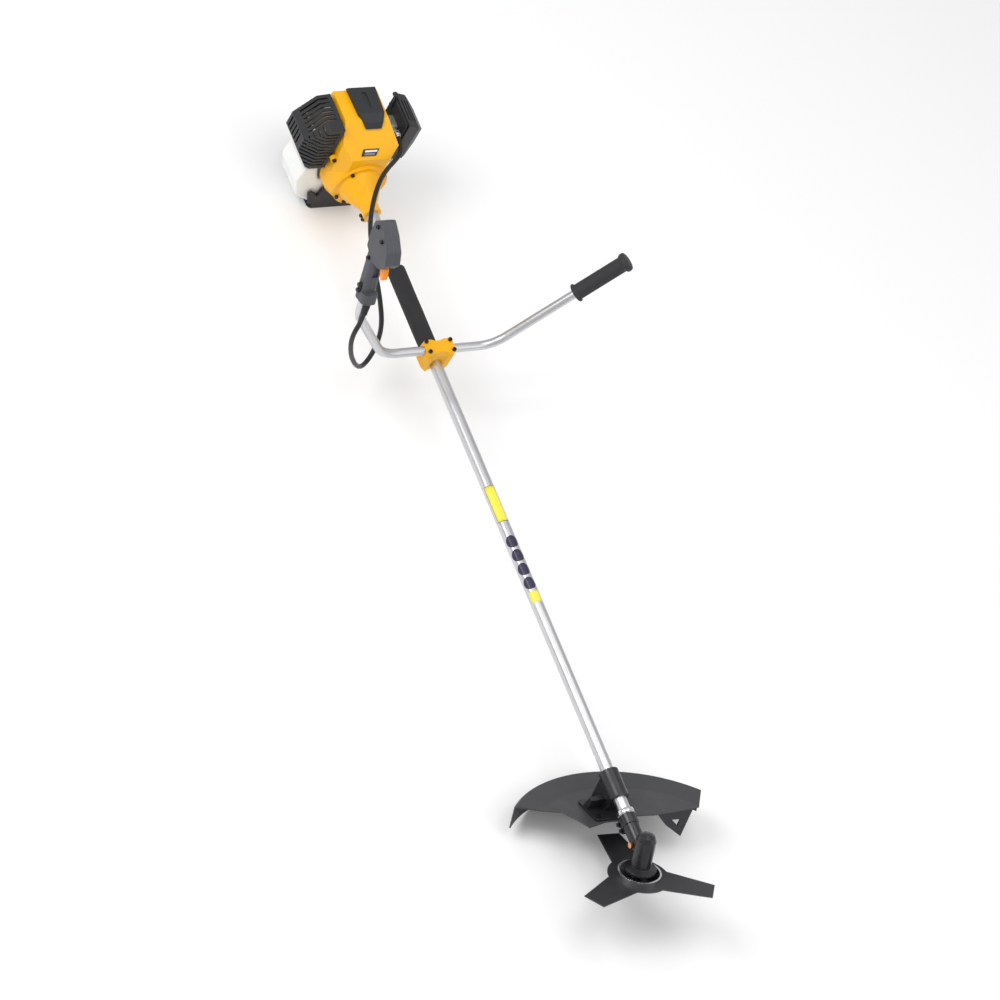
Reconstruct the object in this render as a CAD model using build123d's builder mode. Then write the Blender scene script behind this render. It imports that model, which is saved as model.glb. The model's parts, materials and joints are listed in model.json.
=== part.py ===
from build123d import *
from math import atan2, cos, degrees, pi, radians, sin, tan
import os

# Bike-handle brush cutter, lying as it is stored: it stands on the engine stand
# and on the rear edge of the blade guard, with the drive tube level.
# Frame: +X along the tube towards the blade, +Y to the operator's left, +Z up,
# origin at the centre of the stand's flat base. All sizes in millimetres.

os.makedirs("parts", exist_ok=True)

# ---------------------------------------------------------------- driving sizes
SHAFT_Z = 138.0          # height of the drive line above the floor
TUBE_R = 13.0            # 26 mm drive tube
TUBE_WALL = 1.5
TUBE_LENGTH = 1500.0
TUBE_START = 160.0       # rear end of the tube, inside the clutch housing
TUBE_END = TUBE_START + TUBE_LENGTH
HEAD_X = TUBE_END + 70.0  # where the drive line crosses the output axis
HEAD_ANGLE = 28.0        # blade plane against the tube
BLADE_DROP = 48.0        # blade plane below the crossing, along the output axis
BLADE_R = 150.0          # 300 mm three-tooth blade
FIT = 0.05               # radial clearance of a running fit

CYL_X = 15.0             # cylinder axis and crank throw
BORE_R = 20.0
STROKE = 34.0
ROD_LENGTH = 60.0
CASE_R = 40.0            # crankcase barrel
CASE_X = (-20.0, 50.0)

COVER_R = 70.0           # fan cover disc around the flywheel
COVER_X = (78.0, 110.0)
COVER_WALL = 3.0
DRUM_R = 39.0

CLAMP_X = 554.0          # handlebar clamp centre
BAR_R = 9.5
BAR_RISE = 28.6          # handlebar axis above the drive line
BAR_FLAT = 131.0         # half length of the straight middle
ARM_LENGTH = 329.0
ARM_DIR = (0.0, 0.606, 0.795)
RIGHT_ARM = 190.0        # throttle side: arm length before its second bend

GUARD_R = 265.0
GUARD_TOP = 70.0         # rim height of the guard above the blade plane

# ---------------------------------------------------------------- planes
shaft_axis = Axis((0, 0, SHAFT_Z), (1, 0, 0))
cos_h = cos(radians(HEAD_ANGLE))
sin_h = sin(radians(HEAD_ANGLE))
head_centre = (HEAD_X, 0, SHAFT_Z)
output_dir = (-sin_h, 0, cos_h)
output_axis = Axis(head_centre, output_dir)
head = Plane(origin=head_centre, x_dir=(cos_h, 0, sin_h), z_dir=output_dir)
head_side = Plane(origin=head_centre, x_dir=(cos_h, 0, sin_h), z_dir=(0, -1, 0))


def across(x):
    """Plane square to the tube: local x is +Y, local y is +Z, normal +X."""
    return Plane(origin=(x, 0, SHAFT_Z), x_dir=(0, 1, 0), z_dir=(1, 0, 0))


def side(y=0.0):
    """Upright plane along the tube: local x is +X, local y is +Z, normal -Y."""
    return Plane(origin=(0, y, SHAFT_Z), x_dir=(1, 0, 0), z_dir=(0, -1, 0))


def level(up):
    """Level plane, up above the drive line: normal +Z."""
    return Plane(origin=(0, 0, SHAFT_Z + up), x_dir=(1, 0, 0), z_dir=(0, 0, 1))


blade_plane = head.offset(-BLADE_DROP)


def ring(plane, outer, inner, length):
    """Plain tube along a plane's normal."""
    with BuildPart() as tube:
        with BuildSketch(plane):
            Circle(outer)
            Circle(inner, mode=Mode.SUBTRACT)
        extrude(amount=length)
    return tube.part


def rod(start, direction, radius, length):
    """Round bar from a point along a direction."""
    with BuildPart() as bar:
        with BuildSketch(Plane(origin=start, z_dir=direction)):
            Circle(radius)
        extrude(amount=length)
    return bar.part


def socket_screw(point, out, radius=2.5, length=14.0):
    """Cap screw: the head stands out of the face at point, the shank goes in."""
    with BuildPart() as screw:
        with BuildSketch(Plane(origin=point, z_dir=out)):
            Circle(radius * 1.7)
        extrude(amount=radius * 1.8)
        with BuildSketch(Plane(origin=point, z_dir=out).offset(radius * 1.8)):
            RegularPolygon(radius * 0.8, 6)
        extrude(amount=-radius, mode=Mode.SUBTRACT)
        with BuildSketch(Plane(origin=point, z_dir=out)):
            Circle(radius)
        extrude(amount=-length)
    return screw.part


SCREW_R = 2.5
DOWN, UP, RIGHT, LEFT = (0, 0, -1), (0, 0, 1), (0, -1, 0), (0, 1, 0)
FORWARD, BACK = (1, 0, 0), (-1, 0, 0)


def site(x, y, up, out, length=14.0):
    """Where a cap screw's head sits: point, outward direction, shank length."""
    return ((x, y, SHAFT_Z + up), out, length)


def shanks(sites):
    """The screws' shanks alone, for cutting the holes they fill."""
    with BuildPart() as holes:
        for point, out, length in sites:
            inward = tuple(-value for value in out)
            add(rod(point, inward, SCREW_R, length))
    return holes.part


flange_sites = [site(115, 54.5 * cos(a), 54.5 * sin(a), FORWARD, 12)
                for a in (radians(40), radians(130), radians(215), radians(250), radians(320))]
lug_sites = [site(86, -74, 58, FORWARD, 9)]
cone_sites = [site(x, -9, -23, RIGHT, 18) for x in (174, 184)]
starter_sites = [site(-80, 54 * cos(a), 54 * sin(a), BACK, 12)
                 for a in (radians(80), radians(200), radians(320))]
CLAMP_TOP = 41.0         # top of the handlebar clamp above the drive line
clamp_sites = [site(CLAMP_X + dx, dy, CLAMP_TOP, UP, 46) for dx in (-12.5, 12.5) for dy in (-28, 28)]
LUG_BACK = (66.0, 80.0)  # gear case clamping lugs, behind the crossing
head_sites = [site(HEAD_X - t, -11, -20, RIGHT, 22) for t in LUG_BACK]

# ---------------------------------------------------------------- crank train
pin_up = STROKE / 2
piston_pin_up = pin_up + ROD_LENGTH
crown_up = piston_pin_up + 15.0
web_x = (4.0, 11.0, 19.0, 26.0)

with BuildPart() as crankcase:
    with BuildSketch(across(CASE_X[0])):
        Circle(CASE_R)
        with Locations((0, 22)):
            Rectangle(62, 44)
    extrude(amount=CASE_X[1] - CASE_X[0])
    with BuildSketch(across(web_x[0] - 2)):
        Circle(30)
    extrude(amount=web_x[3] - web_x[0] + 4, mode=Mode.SUBTRACT)
    with BuildSketch(across(CASE_X[0])):
        Circle(16)
    extrude(amount=10, mode=Mode.SUBTRACT)
    with BuildSketch(across(CASE_X[1])):
        Circle(16)
    extrude(amount=-10, mode=Mode.SUBTRACT)
    with BuildSketch(across(CASE_X[0])):
        Circle(10)
    extrude(amount=CASE_X[1] - CASE_X[0], mode=Mode.SUBTRACT)
    with BuildSketch(level(0)):
        with Locations((CYL_X, 0)):
            Circle(BORE_R + 3)
    extrude(amount=60, mode=Mode.SUBTRACT)
crankcase.part.label = "crankcase"
export_step(crankcase.part, "parts/crankcase.step")

cylinder_base = 44.0
head_top = 127.0
with BuildPart() as cylinder:
    with BuildSketch(level(cylinder_base)):
        with Locations((CYL_X, 0)):
            Circle(27)
    extrude(amount=head_top - cylinder_base)
    with BuildSketch(level(cylinder_base)):
        with Locations((CYL_X, 0)):
            RectangleRounded(60, 60, 6)
    extrude(amount=5)
    fin_levels = [56 + 8 * i for i in range(9)]
    for up in fin_levels:
        with BuildSketch(level(up)):
            with Locations((CYL_X, 0)):
                RectangleRounded(66, 84, 9)
        extrude(amount=2.2)
    with BuildSketch(side(-54)):
        with Locations((CYL_X, 72)):
            RectangleRounded(34, 26, 4)
    extrude(amount=-108)
    with BuildSketch(level(cylinder_base)):
        with Locations((CYL_X, 0)):
            Circle(BORE_R)
    extrude(amount=crown_up + 4 - cylinder_base, mode=Mode.SUBTRACT)
    with BuildSketch(side(-60)):
        with Locations((CYL_X, 72)):
            Circle(8)
    extrude(amount=-120, mode=Mode.SUBTRACT)
    with BuildSketch(level(crown_up)):
        with Locations((CYL_X, 0)):
            Circle(5)
    extrude(amount=60, mode=Mode.SUBTRACT)
cylinder.part.label = "cylinder"
export_step(cylinder.part, "parts/cylinder.step")

with BuildPart() as piston:
    with BuildSketch(level(crown_up)):
        with Locations((CYL_X, 0)):
            Circle(BORE_R - FIT)
    extrude(amount=-28)
    with BuildSketch(level(crown_up - 5)):
        with Locations((CYL_X, 0)):
            Circle(BORE_R - 3)
    extrude(amount=-30, mode=Mode.SUBTRACT)
    for x in (CYL_X - 17, CYL_X + 7):
        with BuildSketch(across(x)):
            with Locations((0, piston_pin_up)):
                Circle(7)
        extrude(amount=10)
    with BuildSketch(across(CYL_X - 18)):
        with Locations((0, piston_pin_up)):
            Circle(5)
    extrude(amount=36)
piston.part.label = "piston"
export_step(piston.part, "parts/piston.step")

with BuildPart() as connecting_rod:
    with BuildSketch(across(CYL_X - 3)):
        with Locations((0, pin_up)):
            Circle(10.5)
        with Locations((0, piston_pin_up)):
            Circle(8)
        with Locations((0, (pin_up + piston_pin_up) / 2)):
            Rectangle(8, ROD_LENGTH)
        with Locations((0, pin_up)):
            Circle(6 + FIT, mode=Mode.SUBTRACT)
        with Locations((0, piston_pin_up)):
            Circle(5 + FIT, mode=Mode.SUBTRACT)
    extrude(amount=6)
connecting_rod.part.label = "connecting_rod"
export_step(connecting_rod.part, "parts/connecting_rod.step")

with BuildPart() as crankshaft:
    with BuildSketch(across(-44)):
        Circle(7)
    extrude(amount=web_x[0] + 44)
    with BuildSketch(across(web_x[3])):
        Circle(7)
    extrude(amount=94 - web_x[3])
    for x in (web_x[0], web_x[2]):
        with BuildSketch(across(x)):
            Circle(28)
        extrude(amount=7)
    with BuildSketch(across(web_x[1])):
        with Locations((0, pin_up)):
            Circle(6)
    extrude(amount=web_x[2] - web_x[1])
crankshaft.part.label = "crankshaft"
export_step(crankshaft.part, "parts/crankshaft.step")

# ---------------------------------------------------------------- flywheel and clutch
FLYWHEEL_X = 70.0
FLYWHEEL_R = 60.0
with BuildPart() as flywheel:
    with BuildSketch(across(FLYWHEEL_X)):
        Circle(46)
    extrude(amount=8)
    with BuildSketch(across(FLYWHEEL_X + 8)):
        Circle(24)
    extrude(amount=6)
    with BuildSketch(across(FLYWHEEL_X + 8)):
        with PolarLocations(48, 18):
            Rectangle(22, 2.2)
    extrude(amount=10)
    with BuildSketch(across(FLYWHEEL_X + 5)):
        Circle(FLYWHEEL_R)
    extrude(amount=3)
    with BuildSketch(across(FLYWHEEL_X)):
        Circle(7)
    extrude(amount=20, mode=Mode.SUBTRACT)
flywheel.part.label = "flywheel"
export_step(flywheel.part, "parts/flywheel.step")

with BuildPart() as ignition_coil:
    with BuildSketch(across(FLYWHEEL_X - 8)):
        with Locations((0, 60)):
            Rectangle(34, 24)
    extrude(amount=12)
    with BuildSketch(across(CASE_X[1])):
        with Locations((-13, 46), (13, 46)):
            Rectangle(6, 20)
    extrude(amount=19)
ignition_coil.part.label = "ignition_coil"
export_step(ignition_coil.part, "parts/ignition_coil.step")

SHOE_X = 96.0
with BuildPart() as clutch_shoes:
    with BuildSketch(across(SHOE_X)):
        Circle(DRUM_R - 3.2)
        Rectangle(2 * DRUM_R, 4, mode=Mode.SUBTRACT)
        Circle(14, mode=Mode.SUBTRACT)
    extrude(amount=12)
    with BuildSketch(across(SHOE_X - 4)):
        Circle(12)
        Circle(7, mode=Mode.SUBTRACT)
    extrude(amount=14)
clutch_shoes.part.label = "clutch_shoes"
export_step(clutch_shoes.part, "parts/clutch_shoes.step")

with BuildPart() as clutch_drum:
    with BuildSketch(across(SHOE_X - 1)):
        Circle(DRUM_R)
        Circle(DRUM_R - 2, mode=Mode.SUBTRACT)
    extrude(amount=20)
    with BuildSketch(across(SHOE_X + 16)):
        Circle(DRUM_R)
    extrude(amount=3)
    with BuildSketch(across(SHOE_X + 19)):
        Circle(6)
    extrude(amount=25)
    with BuildSketch(across(SHOE_X + 16)):
        Circle(3.5)
    extrude(amount=30, mode=Mode.SUBTRACT)
    with BuildSketch(across(SHOE_X + 16)):
        with PolarLocations(24, 6):
            Circle(5)
    extrude(amount=3, mode=Mode.SUBTRACT)
clutch_drum.part.label = "clutch_drum"
export_step(clutch_drum.part, "parts/clutch_drum.step")

BEARING_X = 122.0
cone_outer = [(110, 60), (115, 60), (115, 49.5), (121, 46), (160, 24), (168, 20), (190, 20)]
cone_inner = [(110, 44), (118, 42), (120, 24), (146, 16), (TUBE_START, TUBE_R), (190, TUBE_R)]
with BuildPart() as clutch_housing:
    with BuildSketch(side()):
        Polygon(*cone_outer, *reversed(cone_inner), align=None)
    revolve(axis=shaft_axis)
    with BuildSketch(across(BEARING_X)):
        Circle(26)
        Circle(16, mode=Mode.SUBTRACT)
    extrude(amount=12)
    with BuildSketch(level(-24)):
        with Locations((178, 0)):
            Rectangle(24, 2)
    extrude(amount=12, mode=Mode.SUBTRACT)
    for y, reach in ((-1, 8), (1, -8)):
        with BuildSketch(side(y)):
            with Locations((179, -22)):
                RectangleRounded(20, 14, 3)
        extrude(amount=reach)
    add(shanks(flange_sites + cone_sites), mode=Mode.SUBTRACT)
clutch_housing.part.label = "clutch_housing"
export_step(clutch_housing.part, "parts/clutch_housing.step")

# ---------------------------------------------------------------- engine covers
front_view = [(-66, 0), (-71, 98), (-66, 142), (36, 142), (64, 96), (66, 0)]
side_view = [(110, 0), (108, 80), (53, 138), (48, 142), (-28, 142), (-28, 131),
             (44, 131), (60, 116), (60, 0)]
inner_front = [(-63, -5), (-68, 98), (-63.5, 139), (34.5, 139), (61, 95), (63, -5)]
inner_side = [(107, -5), (105, 79), (51, 135), (47, 139), (-40, 139), (-40, 120),
              (44, 120), (50, 116), (50, -5)]
plan_view = [(110, -44), (84, -72), (-60, -80), (-60, 80), (84, 67), (110, 40)]
inner_plan = [(107, -42.5), (83, -68.5), (-60, -77), (-60, 77), (83, 63.5), (107, 38.5)]


def shroud(front, profile, plan, y_reach=90):
    """Upright hood: a front view crossed with a side view and a plan view."""
    with BuildPart() as hood:
        with BuildSketch(across(-60)):
            Polygon(*front, align=None)
        extrude(amount=200)
        with BuildSketch(side(y_reach)):
            Polygon(*profile, align=None)
        extrude(amount=2 * y_reach, mode=Mode.INTERSECT)
        with BuildSketch(level(-10)):
            Polygon(*plan, align=None)
        extrude(amount=200, mode=Mode.INTERSECT)
    return hood.part


shroud_outer = shroud(front_view, side_view, plan_view)
shroud_inner = shroud(inner_front, inner_side, inner_plan)
disc_profile = [(60, 0), (60, COVER_R), (86, COVER_R), (110, 60), (110, 0)]
disc_hollow = [(58, 0), (58, COVER_R - COVER_WALL), (85, COVER_R - COVER_WALL), (107, 58), (107, 0)]
with BuildPart() as fan_cover:
    with BuildSketch(side()):
        Polygon(*disc_profile, align=None)
    revolve(axis=shaft_axis)
    add(shroud_outer)
    add(shroud_inner, mode=Mode.SUBTRACT)
    with BuildSketch(side()):
        Polygon(*disc_hollow, align=None)
    revolve(axis=shaft_axis, mode=Mode.SUBTRACT)
    with BuildSketch(across(COVER_X[0])):
        Circle(44)
    extrude(amount=60, mode=Mode.SUBTRACT)
    with BuildSketch(level(120)):
        with Locations((CYL_X, 0)):
            Circle(15)
    extrude(amount=40, mode=Mode.SUBTRACT)
    with BuildSketch(across(77)):
        with Locations((-74, 58)):
            Circle(7)
        with Locations((-69, 58)):
            Rectangle(8, 14)
    extrude(amount=9)
    add(shanks(flange_sites + lug_sites), mode=Mode.SUBTRACT)
fan_cover.part.label = "fan_cover"
export_step(fan_cover.part, "parts/fan_cover.step")

cap_side = [(66, 130), (58, 143), (40, 151), (-26, 153), (-31, 142.3), (48, 142.3), (54, 138.8)]
cap_plan = [(70, -17), (40, -33), (-40, -36), (-40, 28), (40, 26), (70, 16)]
with BuildPart() as top_cover:
    with BuildSketch(side(60)):
        Polygon(*cap_side, align=None)
    extrude(amount=120)
    with BuildSketch(level(110)):
        Polygon(*cap_plan, align=None)
    extrude(amount=80, mode=Mode.INTERSECT)
    fillet(top_cover.edges().filter_by(GeomType.LINE).group_by(Axis.Z)[-1], 3)
    with BuildSketch(level(142.3)):
        with Locations((8, -4)):
            RectangleRounded(56, 46, 5)
    extrude(amount=5.5, mode=Mode.SUBTRACT)
    with BuildSketch(level(149.8)):
        with Locations((8, -4)):
            SlotOverall(44, 11)
    extrude(amount=6, mode=Mode.SUBTRACT)
top_cover.part.label = "top_cover"
export_step(top_cover.part, "parts/top_cover.step")

with BuildPart() as spark_plug:
    with BuildSketch(level(crown_up + 6)):
        with Locations((CYL_X, 0)):
            Circle(5)
    extrude(amount=head_top - crown_up - 6)
    with BuildSketch(level(head_top)):
        with Locations((CYL_X, 0)):
            RegularPolygon(8.5, 6)
    extrude(amount=8)
    with BuildSketch(level(head_top + 8)):
        with Locations((CYL_X, 0)):
            Circle(9)
    extrude(amount=11)
    fillet(spark_plug.faces().sort_by(Axis.Z)[-1].edges(), 3)
spark_plug.part.label = "spark_plug"
export_step(spark_plug.part, "parts/spark_plug.step")

# ---------------------------------------------------------------- muffler side
with BuildPart() as muffler:
    with BuildSketch(side(-54)):
        with Locations((CYL_X, 72)):
            RectangleRounded(34, 26, 4)
    extrude(amount=8)
    with BuildSketch(side(-62)):
        with Locations((CYL_X, 78)):
            RectangleRounded(66, 62, 10)
    extrude(amount=64)
    fillet(muffler.faces().sort_by(Axis.Y)[0].edges(), 6)
    with BuildSketch(side(-54)):
        with Locations((CYL_X, 72)):
            Circle(8)
    extrude(amount=20, mode=Mode.SUBTRACT)
    with BuildSketch(across(CYL_X + 33)):
        with Locations((-104, 66)):
            Circle(7)
            Circle(5, mode=Mode.SUBTRACT)
    extrude(amount=10)
muffler.part.label = "muffler"
export_step(muffler.part, "parts/muffler.step")

guard_front = [(-75, 16), (-120, 16), (-143, 50), (-143, 88), (-106, 138), (-75, 142)]
guard_plan = [(74, -60), (74, -112), (46, -151), (-22, -151), (-22, -60)]
guard_inner_front = [(-60, 18.5), (-118.5, 18.5), (-140.5, 51), (-140.5, 87), (-105, 135.5), (-60, 139.5)]
guard_inner_plan = [(71.5, -50), (71.5, -111), (45, -148), (-19.5, -148), (-19.5, -50)]


def heat_shell(front, plan):
    """Faceted box: a front view crossed with a plan view."""
    with BuildPart() as shell:
        with BuildSketch(across(-60)):
            Polygon(*front, align=None)
        extrude(amount=160)
        with BuildSketch(level(0)):
            Polygon(*plan, align=None)
        extrude(amount=160, mode=Mode.INTERSECT)
    return shell.part


guard_blank = heat_shell(guard_front, guard_plan)
guard_hollow = heat_shell(guard_inner_front, guard_inner_plan)
front_slots = [28 + 10 * i for i in range(11)]
side_slots = [-12 + 11 * i for i in range(5)]
top_slots = [-12 + 11 * i for i in range(6)]
with BuildPart() as muffler_guard:
    add(guard_blank)
    add(guard_hollow, mode=Mode.SUBTRACT)
    for up in front_slots:
        with BuildSketch(across(50)):
            with Locations((-114, up)):
                Rectangle(62, 4.5)
        extrude(amount=30, mode=Mode.SUBTRACT)
    for x in side_slots:
        with BuildSketch(side(-130)):
            with Locations((x, 69)):
                Rectangle(4.5, 32)
        extrude(amount=30, mode=Mode.SUBTRACT)
    for x in top_slots:
        with BuildSketch(level(150)):
            with Locations((x, -109)):
                Rectangle(4.5, 50)
        extrude(amount=-60, mode=Mode.SUBTRACT)
muffler_guard.part.label = "muffler_guard"
export_step(muffler_guard.part, "parts/muffler_guard.step")

# ---------------------------------------------------------------- carburettor side
CARB_Y = (54.0, 88.0)
LEVER_PIVOT = (CYL_X, 72.0)
with BuildPart() as carburetor:
    with BuildSketch(side(CARB_Y[0])):
        with Locations((CYL_X, 72)):
            RectangleRounded(38, 30, 4)
    extrude(amount=-8)
    with BuildSketch(side(CARB_Y[0] + 8)):
        with Locations((CYL_X, 68)):
            RectangleRounded(34, 36, 5)
    extrude(amount=-(CARB_Y[1] - CARB_Y[0] - 8))
    with BuildSketch(level(86)):
        with Locations(LEVER_PIVOT):
            Circle(7)
    extrude(amount=3)
    with BuildSketch(side(CARB_Y[0])):
        with Locations((CYL_X, 72)):
            Circle(8)
    extrude(amount=-34, mode=Mode.SUBTRACT)
    with BuildSketch(level(80)):
        with Locations(LEVER_PIVOT):
            Circle(3 + FIT)
    extrude(amount=12, mode=Mode.SUBTRACT)
    with BuildSketch(side(66)):
        with Locations((CYL_X + 24, 82.5)):
            RectangleRounded(24, 12, 2)
    extrude(amount=-3)
    with BuildSketch(level(50)):
        with Locations((CYL_X, 75)):
            Circle(8.5)
    extrude(amount=7, mode=Mode.SUBTRACT)
    with BuildSketch(across(CYL_X + 32)):
        with Locations((74, 88)):
            RectangleRounded(14, 14, 2)
    extrude(amount=3)
carburetor.part.label = "carburetor"
export_step(carburetor.part, "parts/carburetor.step")

with BuildPart() as carburetor_lever:
    with BuildSketch(level(80.4)):
        with Locations(LEVER_PIVOT):
            Circle(3)
    extrude(amount=12)
    with BuildSketch(level(89.5)):
        with Locations(LEVER_PIVOT):
            Circle(6)
        with Locations((LEVER_PIVOT[0], LEVER_PIVOT[1] - 7)):
            RectangleRounded(7, 20, 3)
    extrude(amount=3)
carburetor_lever.part.label = "carburetor_lever"
export_step(carburetor_lever.part, "parts/carburetor_lever.step")

with BuildPart() as primer_bulb:
    with BuildSketch(level(52.4)):
        with Locations((CYL_X, 75)):
            Circle(8)
    extrude(amount=-13, taper=10)
    fillet(primer_bulb.faces().sort_by(Axis.Z)[0].edges(), 4)
primer_bulb.part.label = "primer_bulb"
export_step(primer_bulb.part, "parts/primer_bulb.step")

CHOKE_PIVOT = (-18.0, 96.0)
with BuildPart() as choke_lever:
    with BuildSketch(side(CARB_Y[1] - 3.3)):
        with Locations(CHOKE_PIVOT):
            Circle(6)
        with Locations((CHOKE_PIVOT[0], CHOKE_PIVOT[1] + 18)):
            RectangleRounded(8, 40, 3)
    extrude(amount=-3)
    with BuildSketch(side(CARB_Y[1] - 0.3)):
        with Locations(CHOKE_PIVOT):
            Circle(2.5)
    extrude(amount=-3.3)
    with BuildSketch(level(CHOKE_PIVOT[1] + 32)):
        with Locations((CHOKE_PIVOT[0], CARB_Y[1] - 5)):
            RectangleRounded(12, 9, 2)
    extrude(amount=5)
choke_lever.part.label = "choke_lever"
export_step(choke_lever.part, "parts/choke_lever.step")

with BuildPart() as air_filter_base:
    with BuildSketch(side(CARB_Y[1])):
        with Locations((14, 66)):
            RectangleRounded(80, 104, 10)
    extrude(amount=-4)
    with BuildSketch(side(CARB_Y[1] - 1)):
        with Locations((CYL_X, 72)):
            Circle(8)
        with Locations(CHOKE_PIVOT):
            Circle(2.5 + FIT)
    extrude(amount=-6, mode=Mode.SUBTRACT)
air_filter_base.part.label = "air_filter_base"
export_step(air_filter_base.part, "parts/air_filter_base.step")

with BuildPart() as air_filter_element:
    with BuildSketch(side(CARB_Y[1] + 4)):
        with Locations((14, 64)):
            RectangleRounded(64, 80, 8)
    extrude(amount=-26)
air_filter_element.part.label = "air_filter_element"
export_step(air_filter_element.part, "parts/air_filter_element.step")

filter_front = [(92.3, 10), (128, 10), (143, 38), (143, 84), (118, 112), (92.3, 121)]
filter_plan = [(58, 80), (58, 118), (38, 145), (-14, 145), (-30, 123), (-30, 80)]
filter_inner_front = [(80, 12.5), (126.5, 12.5), (140.5, 39), (140.5, 83), (116.8, 109.7), (80, 118.5)]
filter_inner_plan = [(55.5, 80), (55.5, 117), (36.8, 142.5), (-12.8, 142.5), (-27.5, 122), (-27.5, 80)]
with BuildPart() as air_filter_cover:
    add(heat_shell(filter_front, filter_plan))
    add(heat_shell(filter_inner_front, filter_inner_plan), mode=Mode.SUBTRACT)
    for up in (46, 56, 66, 76):
        with BuildSketch(side(136)):
            with Locations((12, up)):
                Rectangle(36, 4)
        extrude(amount=-20, mode=Mode.SUBTRACT)
    for y in (100, 108, 116):
        with BuildSketch(level(104)):
            with Locations((14, y)):
                Rectangle(54, 3.5)
        extrude(amount=20, mode=Mode.SUBTRACT)
air_filter_cover.part.label = "air_filter_cover"
export_step(air_filter_cover.part, "parts/air_filter_cover.step")

# ---------------------------------------------------------------- starter
STARTER_X = (-80.0, -20.0)
PULLEY_X = (-66.0, -54.0)
ROPE_R = 1.75
ROPE_UP = 25.0
ROPE_X = -60.0
GRIP_Y = 72.0
with BuildPart() as starter_cover:
    with BuildSketch(across(STARTER_X[0])):
        Circle(60)
    extrude(amount=STARTER_X[1] - STARTER_X[0])
    chamfer(starter_cover.faces().sort_by(Axis.X)[0].edges(), 8)
    with BuildSketch(across(STARTER_X[0] + 4)):
        Circle(50)
    extrude(amount=52, mode=Mode.SUBTRACT)
    with BuildSketch(across(STARTER_X[1])):
        Circle(34)
    extrude(amount=-10, mode=Mode.SUBTRACT)
    with BuildSketch(across(STARTER_X[0] + 3)):
        Circle(8)
    extrude(amount=22)
    with BuildSketch(across(STARTER_X[0] - 1)):
        with PolarLocations(34, 10):
            SlotOverall(26, 5)
    extrude(amount=8, mode=Mode.SUBTRACT)
    with BuildSketch(side(40)):
        with Locations((ROPE_X, ROPE_UP)):
            Circle(3.5)
    extrude(amount=-40, mode=Mode.SUBTRACT)
    add(shanks(starter_sites), mode=Mode.SUBTRACT)
starter_cover.part.label = "starter_cover"
export_step(starter_cover.part, "parts/starter_cover.step")

with BuildPart() as starter_pulley:
    with BuildSketch(side()):
        Polygon((PULLEY_X[0], 8 + FIT), (PULLEY_X[0], 30), (PULLEY_X[0] + 3, 30), (PULLEY_X[0] + 3, 22),
                (PULLEY_X[1] - 3, 22), (PULLEY_X[1] - 3, 30), (PULLEY_X[1], 30), (PULLEY_X[1], 8 + FIT),
                align=None)
    revolve(axis=shaft_axis)
    with BuildSketch(across(PULLEY_X[1] - 4)):
        with Locations((15, 0), (-15, 0)):
            Circle(4)
    extrude(amount=5, mode=Mode.SUBTRACT)
starter_pulley.part.label = "starter_pulley"
export_step(starter_pulley.part, "parts/starter_pulley.step")

rope_start = 26.5
with BuildPart() as starter_rope:
    with BuildSketch(side(rope_start)):
        with Locations((ROPE_X, ROPE_UP)):
            Circle(ROPE_R)
    extrude(amount=-(GRIP_Y - 6 - rope_start))
starter_rope.part.label = "starter_rope"
export_step(starter_rope.part, "parts/starter_rope.step")

with BuildPart() as starter_grip:
    with BuildSketch(side(GRIP_Y)):
        with Locations((ROPE_X, ROPE_UP)):
            RectangleRounded(13, 56, 6)
    extrude(amount=-14)
    with BuildSketch(side(GRIP_Y)):
        with Locations((ROPE_X, ROPE_UP)):
            Circle(6)
    extrude(amount=6, taper=20)
    fillet(starter_grip.faces().sort_by(Axis.Y)[-1].edges(), 3)
starter_grip.part.label = "starter_grip"
export_step(starter_grip.part, "parts/starter_grip.step")

# ---------------------------------------------------------------- tank and stand
TANK_X = (-28.0, 56.0)
tank_view = [(-58, -124), (-91, -102), (-111, -54), (-106, -10), (-72, -10), (-58, -48),
             (58, -48), (72, -10), (112, -10), (120, -60), (104, -112), (62, -129)]
tank_space = [(-56, -120), (-88, -99), (-106, -53), (-101, -15), (-76, -15), (-61, -53),
              (61, -53), (76, -15), (107, -15), (113, -58), (100, -108), (58, -125)]
with BuildPart() as fuel_tank:
    with BuildSketch(across(TANK_X[0])):
        Polygon(*tank_view, align=None)
    extrude(amount=TANK_X[1] - TANK_X[0])
    fillet(fuel_tank.edges().filter_by(Axis.X), 7)
    fillet(fuel_tank.faces().sort_by(Axis.X)[-1].edges(), 6)
    fillet(fuel_tank.faces().sort_by(Axis.X)[0].edges(), 6)
    with BuildSketch(side(112)):
        with Locations((4, -58)):
            Circle(17)
    extrude(amount=-14)
    add(rod((TANK_X[0] - 4, 0, SHAFT_Z), FORWARD, 62, 30), mode=Mode.SUBTRACT)
    with BuildSketch(across(TANK_X[0] + 31)):
        Polygon(*tank_space, align=None)
    extrude(amount=TANK_X[1] - TANK_X[0] - 35, mode=Mode.SUBTRACT)
    with BuildSketch(side(127)):
        with Locations((4, -58)):
            Circle(12)
    extrude(amount=10, mode=Mode.SUBTRACT)
fuel_tank.part.label = "fuel_tank"
export_step(fuel_tank.part, "parts/fuel_tank.step")

with BuildPart() as fuel_cap:
    with BuildSketch(side(126.4)):
        with Locations((4, -58)):
            Circle(22)
    extrude(amount=-13)
    with BuildSketch(side(126.4)):
        with Locations((4, -58)):
            with PolarLocations(22, 16):
                Circle(1.4)
    extrude(amount=-13, mode=Mode.SUBTRACT)
fuel_cap.part.label = "fuel_cap"
export_step(fuel_cap.part, "parts/fuel_cap.step")

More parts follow.
